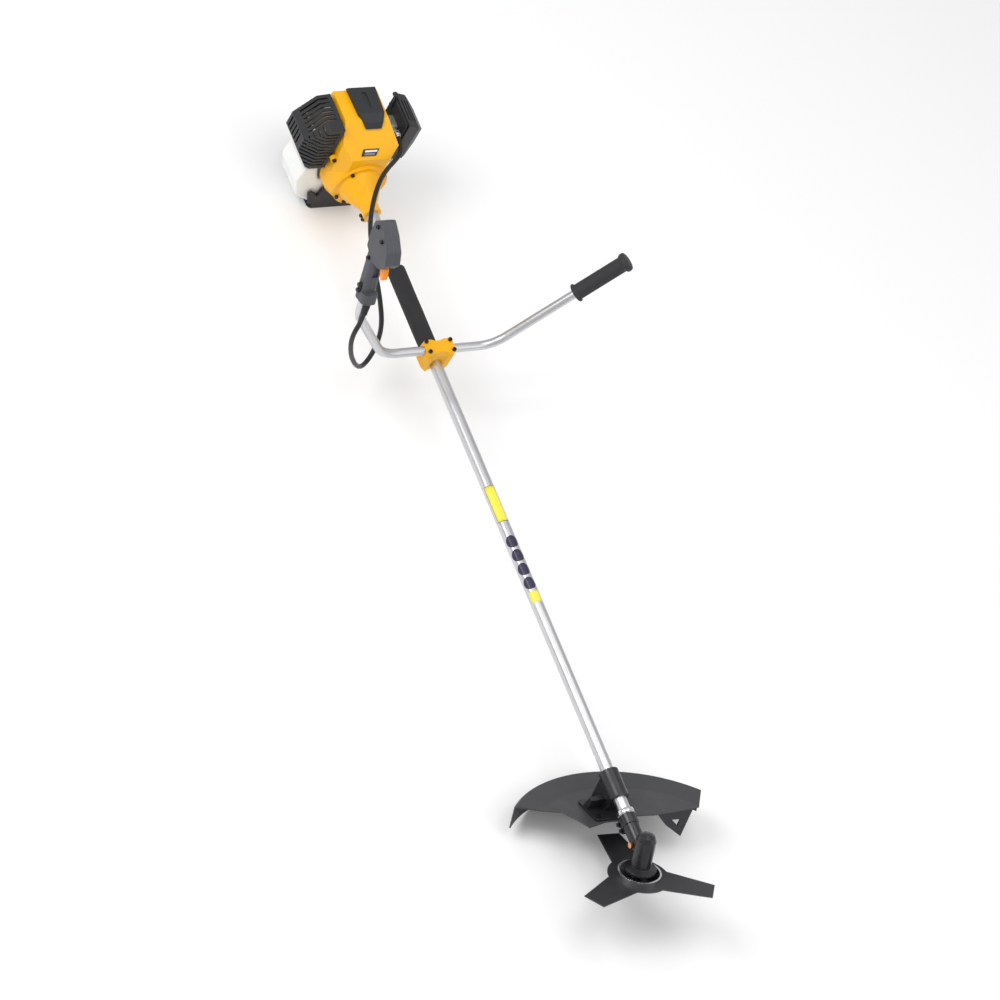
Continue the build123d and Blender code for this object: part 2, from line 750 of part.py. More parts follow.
hose_spots = [(2, 82), (28, 82)]
with BuildPart() as fuel_hoses:
    with BuildSketch(level(-10)):
        with Locations(*hose_spots):
            Circle(2.5)
            Circle(1.3, mode=Mode.SUBTRACT)
    extrude(amount=60)
fuel_hoses.part.label = "fuel_hoses"
export_step(fuel_hoses.part, "parts/fuel_hoses.step")

STAND_HALF = 60.0
stand_front = [(-46, -138), (52, -138), (52, -124), (40, -52), (-36, -52), (-45, -96),
               (-62, -82), (-70, -88), (-57, -122), (-46, -126)]
stand_rear = [(-48, -138), (48, -138), (48, -128), (34, -46), (-34, -46), (-48, -128)]
with BuildPart() as engine_stand:
    with BuildSketch(level(-SHAFT_Z)):
        RectangleRounded(2 * STAND_HALF + 12, 104, 10)
        RectangleRounded(84, 72, 8, mode=Mode.SUBTRACT)
    extrude(amount=5)
    with BuildSketch(level(-SHAFT_Z)):
        with Locations((-30, 0), (0, 0), (30, 0)):
            Rectangle(14, 96)
    extrude(amount=9)
    with BuildSketch(across(STAND_HALF)):
        Polygon(*stand_front, align=None)
        Circle(COVER_R, mode=Mode.SUBTRACT)
    extrude(amount=6)
    with BuildSketch(across(-STAND_HALF)):
        Polygon(*stand_rear, align=None)
        Circle(60, mode=Mode.SUBTRACT)
    extrude(amount=6)
engine_stand.part.label = "engine_stand"
export_step(engine_stand.part, "parts/engine_stand.step")

# ---------------------------------------------------------------- drive tube
with BuildPart() as main_tube:
    with BuildSketch(across(TUBE_START)):
        Circle(TUBE_R)
        Circle(TUBE_R - TUBE_WALL, mode=Mode.SUBTRACT)
    extrude(amount=TUBE_LENGTH)
main_tube.part.label = "main_tube"
export_step(main_tube.part, "parts/main_tube.step")

PINION_BACK = 24.0       # rear face of the pinion hub, behind the crossing
with BuildPart() as drive_shaft:
    with BuildSketch(across(SHOE_X + 20)):
        Circle(3.5)
    extrude(amount=HEAD_X - PINION_BACK + 4 - SHOE_X - 20)
drive_shaft.part.label = "drive_shaft"
export_step(drive_shaft.part, "parts/drive_shaft.step")

bushing_x = [TUBE_START + 60 + 275 * i for i in range(6)]
with BuildPart() as shaft_bushings:
    for x in bushing_x:
        with BuildSketch(across(x)):
            Circle(TUBE_R - TUBE_WALL)
            Circle(3.5 + FIT, mode=Mode.SUBTRACT)
        extrude(amount=24)
shaft_bushings.part.label = "shaft_bushings"
export_step(shaft_bushings.part, "parts/shaft_bushings.step")

SLEEVE_X = (331.0, CLAMP_X - 20.0)
SLEEVE_R = 19.5
with BuildPart() as foam_sleeve:
    add(ring(across(SLEEVE_X[0]), SLEEVE_R, TUBE_R, SLEEVE_X[1] - SLEEVE_X[0]))
    fillet(foam_sleeve.edges().filter_by(GeomType.CIRCLE).filter_by(lambda e: e.radius > TUBE_R + 1), 3)
foam_sleeve.part.label = "foam_sleeve"
export_step(foam_sleeve.part, "parts/foam_sleeve.step")

EYE_X = 275.0
EYE_UP = 34.0
EYE_R = 7.5
with BuildPart() as harness_clamp:
    add(ring(across(EYE_X - 10), TUBE_R + 3, TUBE_R, 20))
    with BuildSketch(side(2.5)):
        with Locations((EYE_X, EYE_UP)):
            Circle(13)
        with Locations((EYE_X, 22.5)):
            Rectangle(18, 17)
        with Locations((EYE_X, EYE_UP)):
            Circle(EYE_R, mode=Mode.SUBTRACT)
    extrude(amount=5)
harness_clamp.part.label = "harness_clamp"
export_step(harness_clamp.part, "parts/harness_clamp.step")

# ---------------------------------------------------------------- handlebar
def clamp_block(low, high, length):
    """One slice of the clamp's waisted casting between two levels."""
    with BuildPart() as block:
        with BuildSketch(level(low)):
            with Locations((CLAMP_X, 0)):
                RectangleRounded(length, 68, 8)
            with Locations((CLAMP_X - 44, 0), (CLAMP_X + 44, 0)):
                Circle(30, mode=Mode.SUBTRACT)
        extrude(amount=high - low)
    return block.part


with BuildPart() as clamp_base:
    add(clamp_block(-20, 0, 38))
    with BuildSketch(across(CLAMP_X - 25)):
        for way in (-1, 1):
            Polygon((way * 18, -20), (way * 36, -3), (way * 36, -22), (way * 18, -22), align=None)
    extrude(amount=50, mode=Mode.SUBTRACT)
    add(rod((CLAMP_X - 30, 0, SHAFT_Z), (1, 0, 0), TUBE_R, 60), mode=Mode.SUBTRACT)
    add(shanks(clamp_sites), mode=Mode.SUBTRACT)
clamp_base.part.label = "clamp_base"
export_step(clamp_base.part, "parts/clamp_base.step")

with BuildPart() as clamp_body:
    add(clamp_block(0, BAR_RISE, 38))
    add(rod((CLAMP_X - 30, 0, SHAFT_Z), (1, 0, 0), TUBE_R, 60), mode=Mode.SUBTRACT)
    add(rod((CLAMP_X, -40, SHAFT_Z + BAR_RISE), (0, 1, 0), BAR_R, 80), mode=Mode.SUBTRACT)
    add(shanks(clamp_sites), mode=Mode.SUBTRACT)
clamp_body.part.label = "clamp_body"
export_step(clamp_body.part, "parts/clamp_body.step")

with BuildPart() as clamp_cap:
    add(clamp_block(BAR_RISE, CLAMP_TOP, 36))
    fillet(clamp_cap.edges().filter_by(Axis.Y).group_by(Axis.Z)[-1], 1)
    add(rod((CLAMP_X, -40, SHAFT_Z + BAR_RISE), (0, 1, 0), BAR_R, 80), mode=Mode.SUBTRACT)
    add(shanks(clamp_sites), mode=Mode.SUBTRACT)
clamp_cap.part.label = "clamp_cap"
export_step(clamp_cap.part, "parts/clamp_cap.step")

bar_centre = Vector(CLAMP_X, 0, SHAFT_Z + BAR_RISE)
left_bend = bar_centre + Vector(0, BAR_FLAT, 0)
right_bend = bar_centre - Vector(0, BAR_FLAT, 0)
left_dir = Vector(*ARM_DIR).normalized()
right_dir = Vector(0, -ARM_DIR[1], ARM_DIR[2]).normalized()
left_end = left_bend + left_dir * ARM_LENGTH
grip_bend = right_bend + right_dir * RIGHT_ARM
grip_dir = Vector(-0.3, 0, 0.954).normalized()
grip_front = Vector(0.954, 0, 0.3).normalized()
grip_base = grip_bend + grip_dir * 45
bar_end = grip_base + grip_dir * 70
grip_plane = Plane(origin=grip_base, x_dir=grip_front, z_dir=(0, -1, 0))
grip_y = grip_base.Y

with BuildPart() as handlebar:
    with BuildLine() as bar_path:
        FilletPolyline(left_end, left_bend, right_bend, grip_bend, bar_end, radius=[70, 70, 40])
    with BuildSketch(Plane(origin=left_end, z_dir=-left_dir)):
        Circle(BAR_R)
        Circle(BAR_R - 1.6, mode=Mode.SUBTRACT)
    sweep()
handlebar.part.label = "handlebar"
export_step(handlebar.part, "parts/handlebar.step")

GRIP_LENGTH = 130.0
grip_start = left_end - left_dir * (GRIP_LENGTH - 6)
with BuildPart() as left_grip:
    for distance, radius, length in ((0, 20, 5), (5, 16.5, GRIP_LENGTH - 16), (GRIP_LENGTH - 11, 20.5, 11)):
        with BuildSketch(Plane(origin=grip_start + left_dir * distance, z_dir=left_dir)):
            Circle(radius)
        extrude(amount=length)
    fillet(left_grip.edges().filter_by(GeomType.CIRCLE).filter_by(lambda e: e.radius > 20), 3)
    with BuildSketch(Plane(origin=grip_start, z_dir=left_dir)):
        Circle(BAR_R)
    extrude(amount=GRIP_LENGTH - 6, mode=Mode.SUBTRACT)
left_grip.part.label = "left_grip"
export_step(left_grip.part, "parts/left_grip.step")


def grip_spot(front, along, y=0.0):
    """Point in the throttle grip's own frame: forward, up the grip, sideways."""
    return grip_base + grip_front * front + grip_dir * along + Vector(0, y, 0)


HOOD_HALF = 17.0
hood_outline = [(-17, 118), (14, 99), (46, 103), (62, 122), (54, 148), (32, 172), (4, 191), (-12, 180), (-17, 150)]
throttle_sites = [(tuple(grip_spot(*spot, -HOOD_HALF)), RIGHT, 30) for spot in ((30, 158), (4, 176))]
throttle_sites.append((tuple(grip_spot(0, 99, -16)), RIGHT, 28))
pivot_trigger = (24.0, 112.0)
pivot_lock = (-10.5, 126.0)


def throttle_blank():
    """Whole throttle housing before it is split: grip, flared foot and hood."""
    with BuildPart() as blank:
        with BuildSketch(Plane(origin=grip_base, x_dir=grip_front, z_dir=grip_dir)):
            RectangleRounded(34, 32, 13)
        extrude(amount=138)
        with BuildSketch(Plane(origin=grip_base, x_dir=grip_front, z_dir=grip_dir)):
            with Locations((6, 0)):
                RectangleRounded(42, 34, 12)
        extrude(amount=22)
        with BuildSketch(grip_plane.offset(-HOOD_HALF)) as outline:
            Polygon(*hood_outline, align=None)
            fillet(outline.vertices(), 7)
        extrude(amount=2 * HOOD_HALF)
        add(rod(grip_base - grip_dir, grip_dir, BAR_R, 71), mode=Mode.SUBTRACT)
        with BuildSketch(grip_plane.offset(-6.5)):
            Polygon((12, 60), (66, 60), (54, 116), (40, 122), (12, 124), align=None)
        extrude(amount=13, mode=Mode.SUBTRACT)
        with BuildSketch(grip_plane.offset(-5)):
            Polygon((-30, 76), (-5, 76), (-5, 134), (-30, 134), align=None)
        extrude(amount=10, mode=Mode.SUBTRACT)
        add(shanks(throttle_sites), mode=Mode.SUBTRACT)
    return blank.part


housing_blank = throttle_blank()
BUTTON_SPOT = (0.0, 27.0)
with BuildPart() as throttle_housing_outer:
    add(housing_blank)
    split(bisect_by=Plane(origin=grip_base, z_dir=(0, -1, 0)), keep=Keep.TOP)
    with BuildSketch(grip_plane.offset(10.5)):
        with Locations(BUTTON_SPOT):
            SlotOverall(25, 11.8, rotation=90)
    extrude(amount=20, mode=Mode.SUBTRACT)
    for spot, radius in ((pivot_trigger, 2.5), (pivot_lock, 2.0)):
        add(rod(grip_spot(*spot, -10), (0, 1, 0), radius, 20))
throttle_housing_outer.part.label = "throttle_housing_outer"
export_step(throttle_housing_outer.part, "parts/throttle_housing_outer.step")

with BuildPart() as throttle_housing_inner:
    add(housing_blank)
    split(bisect_by=Plane(origin=grip_base, z_dir=(0, -1, 0)), keep=Keep.BOTTOM)
    for spot, radius in ((pivot_trigger, 2.5), (pivot_lock, 2.0)):
        add(rod(grip_spot(*spot, -1), (0, 1, 0), radius, 11), mode=Mode.SUBTRACT)
throttle_housing_inner.part.label = "throttle_housing_inner"
export_step(throttle_housing_inner.part, "parts/throttle_housing_inner.step")

trigger_outline = [(17.5, 118), (30, 118), (47, 102), (51, 82), (45, 74), (39, 82), (30, 98), (17.5, 106)]
with BuildPart() as throttle_trigger:
    with BuildSketch(grip_plane.offset(-5.5)) as finger:
        Polygon(*trigger_outline, align=None)
        fillet(finger.vertices(), 2)
        with Locations(pivot_trigger):
            Circle(2.5 + FIT, mode=Mode.SUBTRACT)
    extrude(amount=11)
throttle_trigger.part.label = "throttle_trigger"
export_step(throttle_trigger.part, "parts/throttle_trigger.step")

lock_outline = [(-6, 131), (-15, 131), (-21, 120), (-22, 86), (-18, 81), (-14, 86), (-13, 116), (-6, 121)]
with BuildPart() as lockout_lever:
    with BuildSketch(grip_plane.offset(-4.2)) as palm:
        Polygon(*lock_outline, align=None)
        fillet(palm.vertices(), 1.5)
        with Locations(pivot_lock):
            Circle(2 + FIT, mode=Mode.SUBTRACT)
    extrude(amount=8.4)
lockout_lever.part.label = "lockout_lever"
export_step(lockout_lever.part, "parts/lockout_lever.step")

with BuildPart() as stop_switch:
    with BuildSketch(grip_plane.offset(13.5)):
        with Locations(BUTTON_SPOT):
            SlotOverall(24.2, 11, rotation=90)
    extrude(amount=5)
    with BuildSketch(grip_plane.offset(13.5)):
        with Locations((0, BUTTON_SPOT[1] - 6.4), (0, BUTTON_SPOT[1] + 6.4)):
            Circle(4.8)
    extrude(amount=9.5)
    fillet(stop_switch.faces().sort_by(Axis.Y)[:2].edges(), 1.8)
stop_switch.part.label = "stop_switch"
export_step(stop_switch.part, "parts/stop_switch.step")

# ---------------------------------------------------------------- throttle cable
CABLE_R = 5.1
cable_start = grip_spot(16.5, 0)
cable_end = Vector(CYL_X + 35, 74, SHAFT_Z + 91)
# Down from the grip, round under the handlebar's bend, then back along the tube to the engine.
cable_points = [
    cable_start, cable_start - grip_dir * 42, Vector(574, -252, 274), Vector(567, -226, 208),
    Vector(557, -192, 152), Vector(542, -156, 108), Vector(522, -126, 88), Vector(502, -103, 96),
    Vector(487, -94, 124), Vector(475, -97, 158), Vector(461, -107, 192), Vector(440, -121, 232),
    Vector(402, -130, 264),
    Vector(340, -114, 266), Vector(285, -88, 250), Vector(232, -57, 242), Vector(181, -22, 238),
    Vector(143, 15, 230), Vector(119, 46, 223), Vector(99, 69, 225), cable_end + Vector(27, 0, 0), cable_end]


def arc_radii(points):
    """Radius of the arc at each inner point, as large as its two runs allow."""
    radii = []
    for before, here, after in zip(points, points[1:], points[2:]):
        turn = radians((here - before).get_angle(after - here))
        radii.append(0.45 * min((here - before).length, (after - here).length) / tan(turn / 2))
    return radii


cable_radii = arc_radii(cable_points)
with BuildPart() as throttle_cable:
    with BuildLine() as cable_path:
        FilletPolyline(*cable_points, radius=cable_radii)
    with BuildSketch(Plane(origin=cable_start, z_dir=cable_points[1] - cable_start)):
        Circle(CABLE_R)
    sweep()
throttle_cable.part.label = "throttle_cable"
export_step(throttle_cable.part, "parts/throttle_cable.step")

# ---------------------------------------------------------------- gear head
PINION_TEETH = 12
GEAR_TEETH = 16
shaft_angle = radians(90 - HEAD_ANGLE)
pinion_cone = atan2(sin(shaft_angle), GEAR_TEETH / PINION_TEETH + cos(shaft_angle))
gear_cone = shaft_angle - pinion_cone
CONE_OUTER = 22.0        # cone distance at the teeth's large end
CONE_INNER = 14.5
TOOTH_UP = 0.9           # above the pitch cone at the large end
TOOTH_DOWN = 1.6         # below it


def bevel_gear_solid(plane, cone, teeth, first_angle, bore, hub):
    """Straight bevel gear whose pitch apex is the plane's origin, opening along its normal."""
    big, small = CONE_OUTER, CONE_INNER
    root_big = (big * sin(cone) - TOOTH_DOWN * cos(cone), big * cos(cone) + TOOTH_DOWN * sin(cone))
    scale = small / big
    root_small = (root_big[0] * scale, root_big[1] * scale)
    top_big = (big * sin(cone) + TOOTH_UP * cos(cone), big * cos(cone) - TOOTH_UP * sin(cone))
    section = Plane(origin=plane.origin, x_dir=plane.x_dir, z_dir=-plane.y_dir)
    with BuildPart() as gear:
        with BuildSketch(section):
            Polygon((bore, root_small[1]), root_small, root_big, (root_big[0], hub), (bore, hub), align=None)
        revolve(axis=Axis(plane.origin, plane.z_dir))
    base_half = 0.4 * pi * big * sin(cone) / teeth
    tip_half = 0.6 * base_half
    body = gear.part
    for k in range(teeth):
        spin = Axis(plane.origin, plane.z_dir)
        slant = Plane(origin=plane.origin, x_dir=plane.y_dir,
                      z_dir=plane.x_dir * sin(cone) + plane.z_dir * cos(cone))
        faces = []
        for reach in (big, small):
            size = reach / big
            with BuildSketch(slant.offset(reach)) as profile:
                low, high = -TOOTH_DOWN * size - 0.2, TOOTH_UP * size
                outward = 1 if slant.y_dir.dot(plane.x_dir) > 0 else -1
                Polygon((-base_half * size, outward * low), (base_half * size, outward * low),
                        (tip_half * size, outward * high), (-tip_half * size, outward * high), align=None)
            faces.append(profile.sketch)
        tooth = loft(faces)
        body += tooth.rotate(spin, first_angle + 360 / teeth * k)
    return body


pinion_plane = Plane(origin=head_centre, x_dir=(0, 0, 1), z_dir=(-1, 0, 0))
gear_plane = Plane(origin=head_centre, x_dir=(-cos_h, 0, -sin_h), z_dir=output_dir)
pinion_blank = bevel_gear_solid(pinion_plane, pinion_cone, PINION_TEETH, 180 / PINION_TEETH, 3.5, PINION_BACK)
gear_blank = bevel_gear_solid(gear_plane, gear_cone, GEAR_TEETH, 0, 4.5, 26)
with BuildPart() as pinion_gear:
    add(pinion_blank)
    add(ring(Plane(origin=(HEAD_X - PINION_BACK, 0, SHAFT_Z), z_dir=(-1, 0, 0)), 5, 3.5, 27))
pinion_gear.part.label = "pinion_gear"
export_step(pinion_gear.part, "parts/pinion_gear.step")

with BuildPart() as bevel_gear:
    add(gear_blank)
bevel_gear.part.label = "bevel_gear"
export_step(bevel_gear.part, "parts/bevel_gear.step")

with BuildPart() as output_shaft:
    with BuildSketch(head.offset(-68)):
        Circle(5)
    extrude(amount=44)
    with BuildSketch(head.offset(-36)):
        Circle(9)
    extrude(amount=10)
    with BuildSketch(head.offset(-24)):
        Circle(4.5)
    extrude(amount=62)
output_shaft.part.label = "output_shaft"
export_step(output_shaft.part, "parts/output_shaft.step")

with BuildPart() as ball_bearings:
    add(ring(across(CASE_X[0]), 16, 7, 10))
    add(ring(across(CASE_X[1] - 10), 16, 7, 10))
    add(ring(across(BEARING_X), 16, 6 + FIT, 12))
    add(ring(across(HEAD_X - 50), 12, 5 + FIT, 20))
    add(ring(head.offset(-25.5), 14, 5 + FIT, 10))
    add(ring(head.offset(29), 9, 4.5 + FIT, 8))
ball_bearings.part.label = "ball_bearings"
export_step(ball_bearings.part, "parts/ball_bearings.step")

CASE_BOTTOM = -34.0
case_outline = [(0, CASE_BOTTOM), (32, CASE_BOTTOM), (32, -29), (20, -25), (20, 34), (16, 43), (8, 47), (0, 48)]
case_hollow = [(0, CASE_BOTTOM - 1), (11, CASE_BOTTOM - 1), (11, -25.5), (14, -25.5), (14, -15.5),
               (10, -15.5), (10, 8), (16.2, 8), (16.2, 29), (9, 29), (9, 40), (0, 40)]
with BuildPart() as gear_case:
    with BuildSketch(head_side):
        Polygon(*case_outline, align=None)
    revolve(axis=output_axis)
    with BuildSketch(across(HEAD_X - 88)):
        Circle(17.5)
    extrude(amount=22)
    with BuildSketch(across(HEAD_X - 68)):
        Circle(15.5)
    extrude(amount=66)
    for t in LUG_BACK:
        with BuildSketch(side(-11)):
            with Locations((HEAD_X - t, -18)):
                RectangleRounded(13, 14, 4)
        extrude(amount=-22)
    with BuildSketch(head_side):
        Polygon(*case_hollow, align=None)
    revolve(axis=output_axis, mode=Mode.SUBTRACT)
    add(rod((HEAD_X - 90, 0, SHAFT_Z), (1, 0, 0), TUBE_R, 20), mode=Mode.SUBTRACT)
    add(rod((HEAD_X - 72, 0, SHAFT_Z), (1, 0, 0), 9, 40), mode=Mode.SUBTRACT)
    add(rod((HEAD_X - 50, 0, SHAFT_Z), (1, 0, 0), 12, 50), mode=Mode.SUBTRACT)
    with BuildSketch(level(-30)):
        with Locations((HEAD_X - 73, 0)):
            Rectangle(34, 2)
    extrude(amount=18, mode=Mode.SUBTRACT)
    add(shanks(head_sites), mode=Mode.SUBTRACT)
    plug_point = (HEAD_X - 24, -17.0, SHAFT_Z)
    add(rod(plug_point, (0, 1, 0), 4, 9), mode=Mode.SUBTRACT)
gear_case.part.label = "gear_case"
export_step(gear_case.part, "parts/gear_case.step")

with BuildPart() as grease_plug:
    add(rod(plug_point, (0, 1, 0), 4, 6))
    with BuildSketch(Plane(origin=(HEAD_X - 24, -16, SHAFT_Z), z_dir=(0, -1, 0))):
        RegularPolygon(6.5, 6)
    extrude(amount=5)
grease_plug.part.label = "grease_plug"
export_step(grease_plug.part, "parts/grease_plug.step")

# ---------------------------------------------------------------- blade and flanges
BLADE_T = 1.6
ARBOR_R = 12.7
drop_top = BLADE_DROP - BLADE_T / 2
flange_profile = [(5, -drop_top), (43.5, -drop_top), (43.5, -37.5), (40, -37.5), (40, -43.5),
                  (14, -43.5), (12, -36), (5, -36)]
with BuildPart() as upper_flange:
    with BuildSketch(head_side):
        Polygon(*flange_profile, align=None)
    revolve(axis=output_axis)
    add(ring(head.offset(-drop_top), ARBOR_R - FIT, 5, -BLADE_T))
upper_flange.part.label = "upper_flange"
export_step(upper_flange.part, "parts/upper_flange.step")

TOOTH_PHASE = -67.0      # first tooth, from forward towards +Y
TIP_HALF = 24.0


def polar(radius, angle):
    """Point in the blade plane: angle in degrees from forward towards +Y."""
    return (radius * cos(radians(angle)), radius * sin(radians(angle)))


blade_outline = []
for k in range(3):
    middle = TOOTH_PHASE + 120 * k
    tip_turn = degrees(atan2(TIP_HALF, BLADE_R))
    blade_outline += [polar(60, middle - 36), polar(BLADE_R, middle - tip_turn),
                      polar(BLADE_R, middle + tip_turn), polar(60, middle + 36), polar(53, middle + 60)]
with BuildPart() as blade:
    with BuildSketch(head.offset(-drop_top)) as blank:
        Polygon(*blade_outline, align=None)
        fillet(blank.vertices().filter_by(lambda v: (Vector(v) - blade_plane.origin).length < 100), 9)
        Circle(62)
        Circle(ARBOR_R, mode=Mode.SUBTRACT)
    extrude(amount=-BLADE_T)
blade.part.label = "blade"
export_step(blade.part, "parts/blade.step")

under = -drop_top - BLADE_T
with BuildPart() as lower_flange:
    with BuildSketch(head_side):
        Polygon((5, under), (27, under), (27, under - 2), (20, under - 4.5), (5, under - 4.5), align=None)
    revolve(axis=output_axis)
lower_flange.part.label = "lower_flange"
export_step(lower_flange.part, "parts/lower_flange.step")

with BuildPart() as blade_nut:
    with BuildSketch(head.offset(under - 4.5)):
        RegularPolygon(9.5, 6)
        Circle(5, mode=Mode.SUBTRACT)
    extrude(amount=-8)
blade_nut.part.label = "blade_nut"
export_step(blade_nut.part, "parts/blade_nut.step")

# ---------------------------------------------------------------- guard
PLATE_H = 66.0           # guard plate above the blade plane
SKIRT_LOW = 22.0
WALL = 2.6
plate_n = PLATE_H - BLADE_DROP
rim_n = GUARD_TOP + 3 - BLADE_DROP
low_n = SKIRT_LOW - BLADE_DROP
guard_section = [(20, plate_n), (214, plate_n), (262, rim_n), (GUARD_R, rim_n - 3), (GUARD_R + 2, low_n),
                 (GUARD_R + 2 - WALL, low_n), (GUARD_R - WALL, rim_n - 5), (214, plate_n - WALL),
                 (20, plate_n - WALL)]
guard_plan_points = [(-90, -72), (-100, -30), (-98, 0), (-106, 40), (-98, 82), (-100, 157), (-101, 188),
                     (-150, 222), (-300, 330), (-300, -330), (-230, -235), (-188, -190), (-164, -126),
                     (-153, -99), (-125, -84)]
foot_spots = [(-168, 22), (-112, 22), (-112, -40)]
with BuildPart() as guard:
    with BuildSketch(head_side):
        Polygon(*guard_section, align=None)
    revolve(axis=output_axis)
    with BuildSketch(head.offset(-BLADE_DROP)):
        Polygon(*guard_plan_points, align=None)
    extrude(amount=120, mode=Mode.INTERSECT)
    with BuildSketch(level(-SHAFT_Z)):
        with Locations((HEAD_X - 250, 0)):
            Rectangle(500, 700)
    extrude(amount=-60, mode=Mode.SUBTRACT)
    with BuildSketch(head.offset(plate_n)):
        with Locations(*foot_spots):
            Circle(SCREW_R)
    extrude(amount=-10, mode=Mode.SUBTRACT)
guard.part.label = "guard"
export_step(guard.part, "parts/guard.step")

COLLAR_X = (HEAD_X - 186.0, HEAD_X - 126.0)
with BuildPart() as guard_bracket:
    with BuildSketch(across(COLLAR_X[0])):
        Circle(TUBE_R + 7)
    extrude(amount=COLLAR_X[1] - COLLAR_X[0])
    with BuildSketch(head.offset(plate_n)):
        with Locations((-140, -8)):
            RectangleRounded(76, 84, 8)
    extrude(amount=5)
    with BuildSketch(side(-15)):
        Polygon((HEAD_X - 183, -8), (HEAD_X - 129, -8), (HEAD_X - 121, -48), (HEAD_X - 170, -76), align=None)
    extrude(amount=-30)
    with BuildSketch(side(-48)):
        Polygon((HEAD_X - 151, -66), (HEAD_X - 135, -60), (HEAD_X - 140, -20), (HEAD_X - 149, -20), align=None)
    extrude(amount=-34)
    with BuildSketch(head.offset(-BLADE_DROP)):
        Rectangle(600, 600)
    extrude(amount=PLATE_H, mode=Mode.SUBTRACT)
    add(rod((COLLAR_X[0] - 5, 0, SHAFT_Z), (1, 0, 0), TUBE_R, 80), mode=Mode.SUBTRACT)
    with BuildSketch(head.offset(plate_n)):
        with Locations(*foot_spots):
            Circle(SCREW_R)
    extrude(amount=10, mode=Mode.SUBTRACT)
guard_bracket.part.label = "guard_bracket"
export_step(guard_bracket.part, "parts/guard_bracket.step")

cutter_plane = Plane(origin=head.from_local_coords((-106, 0, -BLADE_DROP)), x_dir=(0, 1, 0),
                     z_dir=(cos_h, 0, sin_h))
with BuildPart() as line_cutter:
    with BuildSketch(cutter_plane) as plate:
        Polygon((92, PLATE_H - WALL), (180, PLATE_H - WALL), (175, 46), (162, -2), (120, 31), align=None)
        Polygon((133, 41), (153, 39), (149, 25), align=None, mode=Mode.SUBTRACT)
    extrude(amount=-3)
line_cutter.part.label = "line_cutter"
export_step(line_cutter.part, "parts/line_cutter.step")

# ---------------------------------------------------------------- screws
all_sites = (flange_sites + lug_sites + cone_sites + starter_sites + clamp_sites + head_sites
             + throttle_sites)
foot_top = plate_n + 5
with BuildPart() as socket_screws:
    for point, out, length in all_sites:
        add(socket_screw(point, out, SCREW_R, length))
    for spot in foot_spots:
        add(socket_screw(tuple(head.from_local_coords((*spot, foot_top))), output_dir, SCREW_R, 9))
socket_screws.part.label = "socket_screws"
export_step(socket_screws.part, "parts/socket_screws.step")
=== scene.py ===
"""Looks of the brush cutter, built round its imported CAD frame.

Sizes are in metres, in the row frame: +X along the drive tube to the blade, +Y to the
operator's left, +Z up, origin at the centre of the engine stand's base.
"""
import json
from math import cos, pi, radians, sin

import bmesh
import bpy
from mathutils import Matrix, Vector, noise


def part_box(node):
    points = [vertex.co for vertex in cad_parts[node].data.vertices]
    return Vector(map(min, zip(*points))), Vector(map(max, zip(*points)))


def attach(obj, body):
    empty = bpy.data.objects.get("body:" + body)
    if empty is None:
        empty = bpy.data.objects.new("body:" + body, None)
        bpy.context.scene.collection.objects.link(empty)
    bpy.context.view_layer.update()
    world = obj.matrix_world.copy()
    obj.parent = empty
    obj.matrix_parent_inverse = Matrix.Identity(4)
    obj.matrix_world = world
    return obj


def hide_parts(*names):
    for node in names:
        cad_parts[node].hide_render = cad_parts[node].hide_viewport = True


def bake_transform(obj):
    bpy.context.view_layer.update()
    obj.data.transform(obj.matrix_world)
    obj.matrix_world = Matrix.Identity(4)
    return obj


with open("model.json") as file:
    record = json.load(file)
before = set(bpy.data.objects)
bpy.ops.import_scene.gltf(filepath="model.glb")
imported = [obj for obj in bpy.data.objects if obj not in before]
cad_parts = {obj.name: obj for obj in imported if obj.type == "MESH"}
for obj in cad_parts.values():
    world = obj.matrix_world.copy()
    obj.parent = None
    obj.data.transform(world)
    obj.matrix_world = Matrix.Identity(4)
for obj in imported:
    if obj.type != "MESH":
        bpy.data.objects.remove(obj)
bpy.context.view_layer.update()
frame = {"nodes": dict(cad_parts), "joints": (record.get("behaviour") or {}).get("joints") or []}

nodes = frame["nodes"]
joints = {joint["name"]: joint for joint in frame["joints"]}
X, Y, Z = Vector((1, 0, 0)), Vector((0, 1, 0)), Vector((0, 0, 1))

# ---------------------------------------------------------------- datum points
head = Vector(joints["blade_spin"]["pos_m"])
blade_axis = Vector(joints["blade_spin"]["axis"]).normalized()
SHAFT_Z = head.z
TUBE_R = 0.013
clamp_low, clamp_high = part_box("clamp_body")
clamp_x = (clamp_low.x + clamp_high.x) / 2

# ---------------------------------------------------------------- camera
CAMERA_AZ, CAMERA_EL, CAMERA_ROLL = radians(40.717), radians(48.054), radians(34.384)
CAMERA_LENS = 162.52
CAMERA_SENSOR = 36
CAMERA_CLIP = 60
# the camera's place, as its own right, up and back from the gear head
CAMERA_FROM_HEAD = (-0.27606, 0.68357, 8.70078)


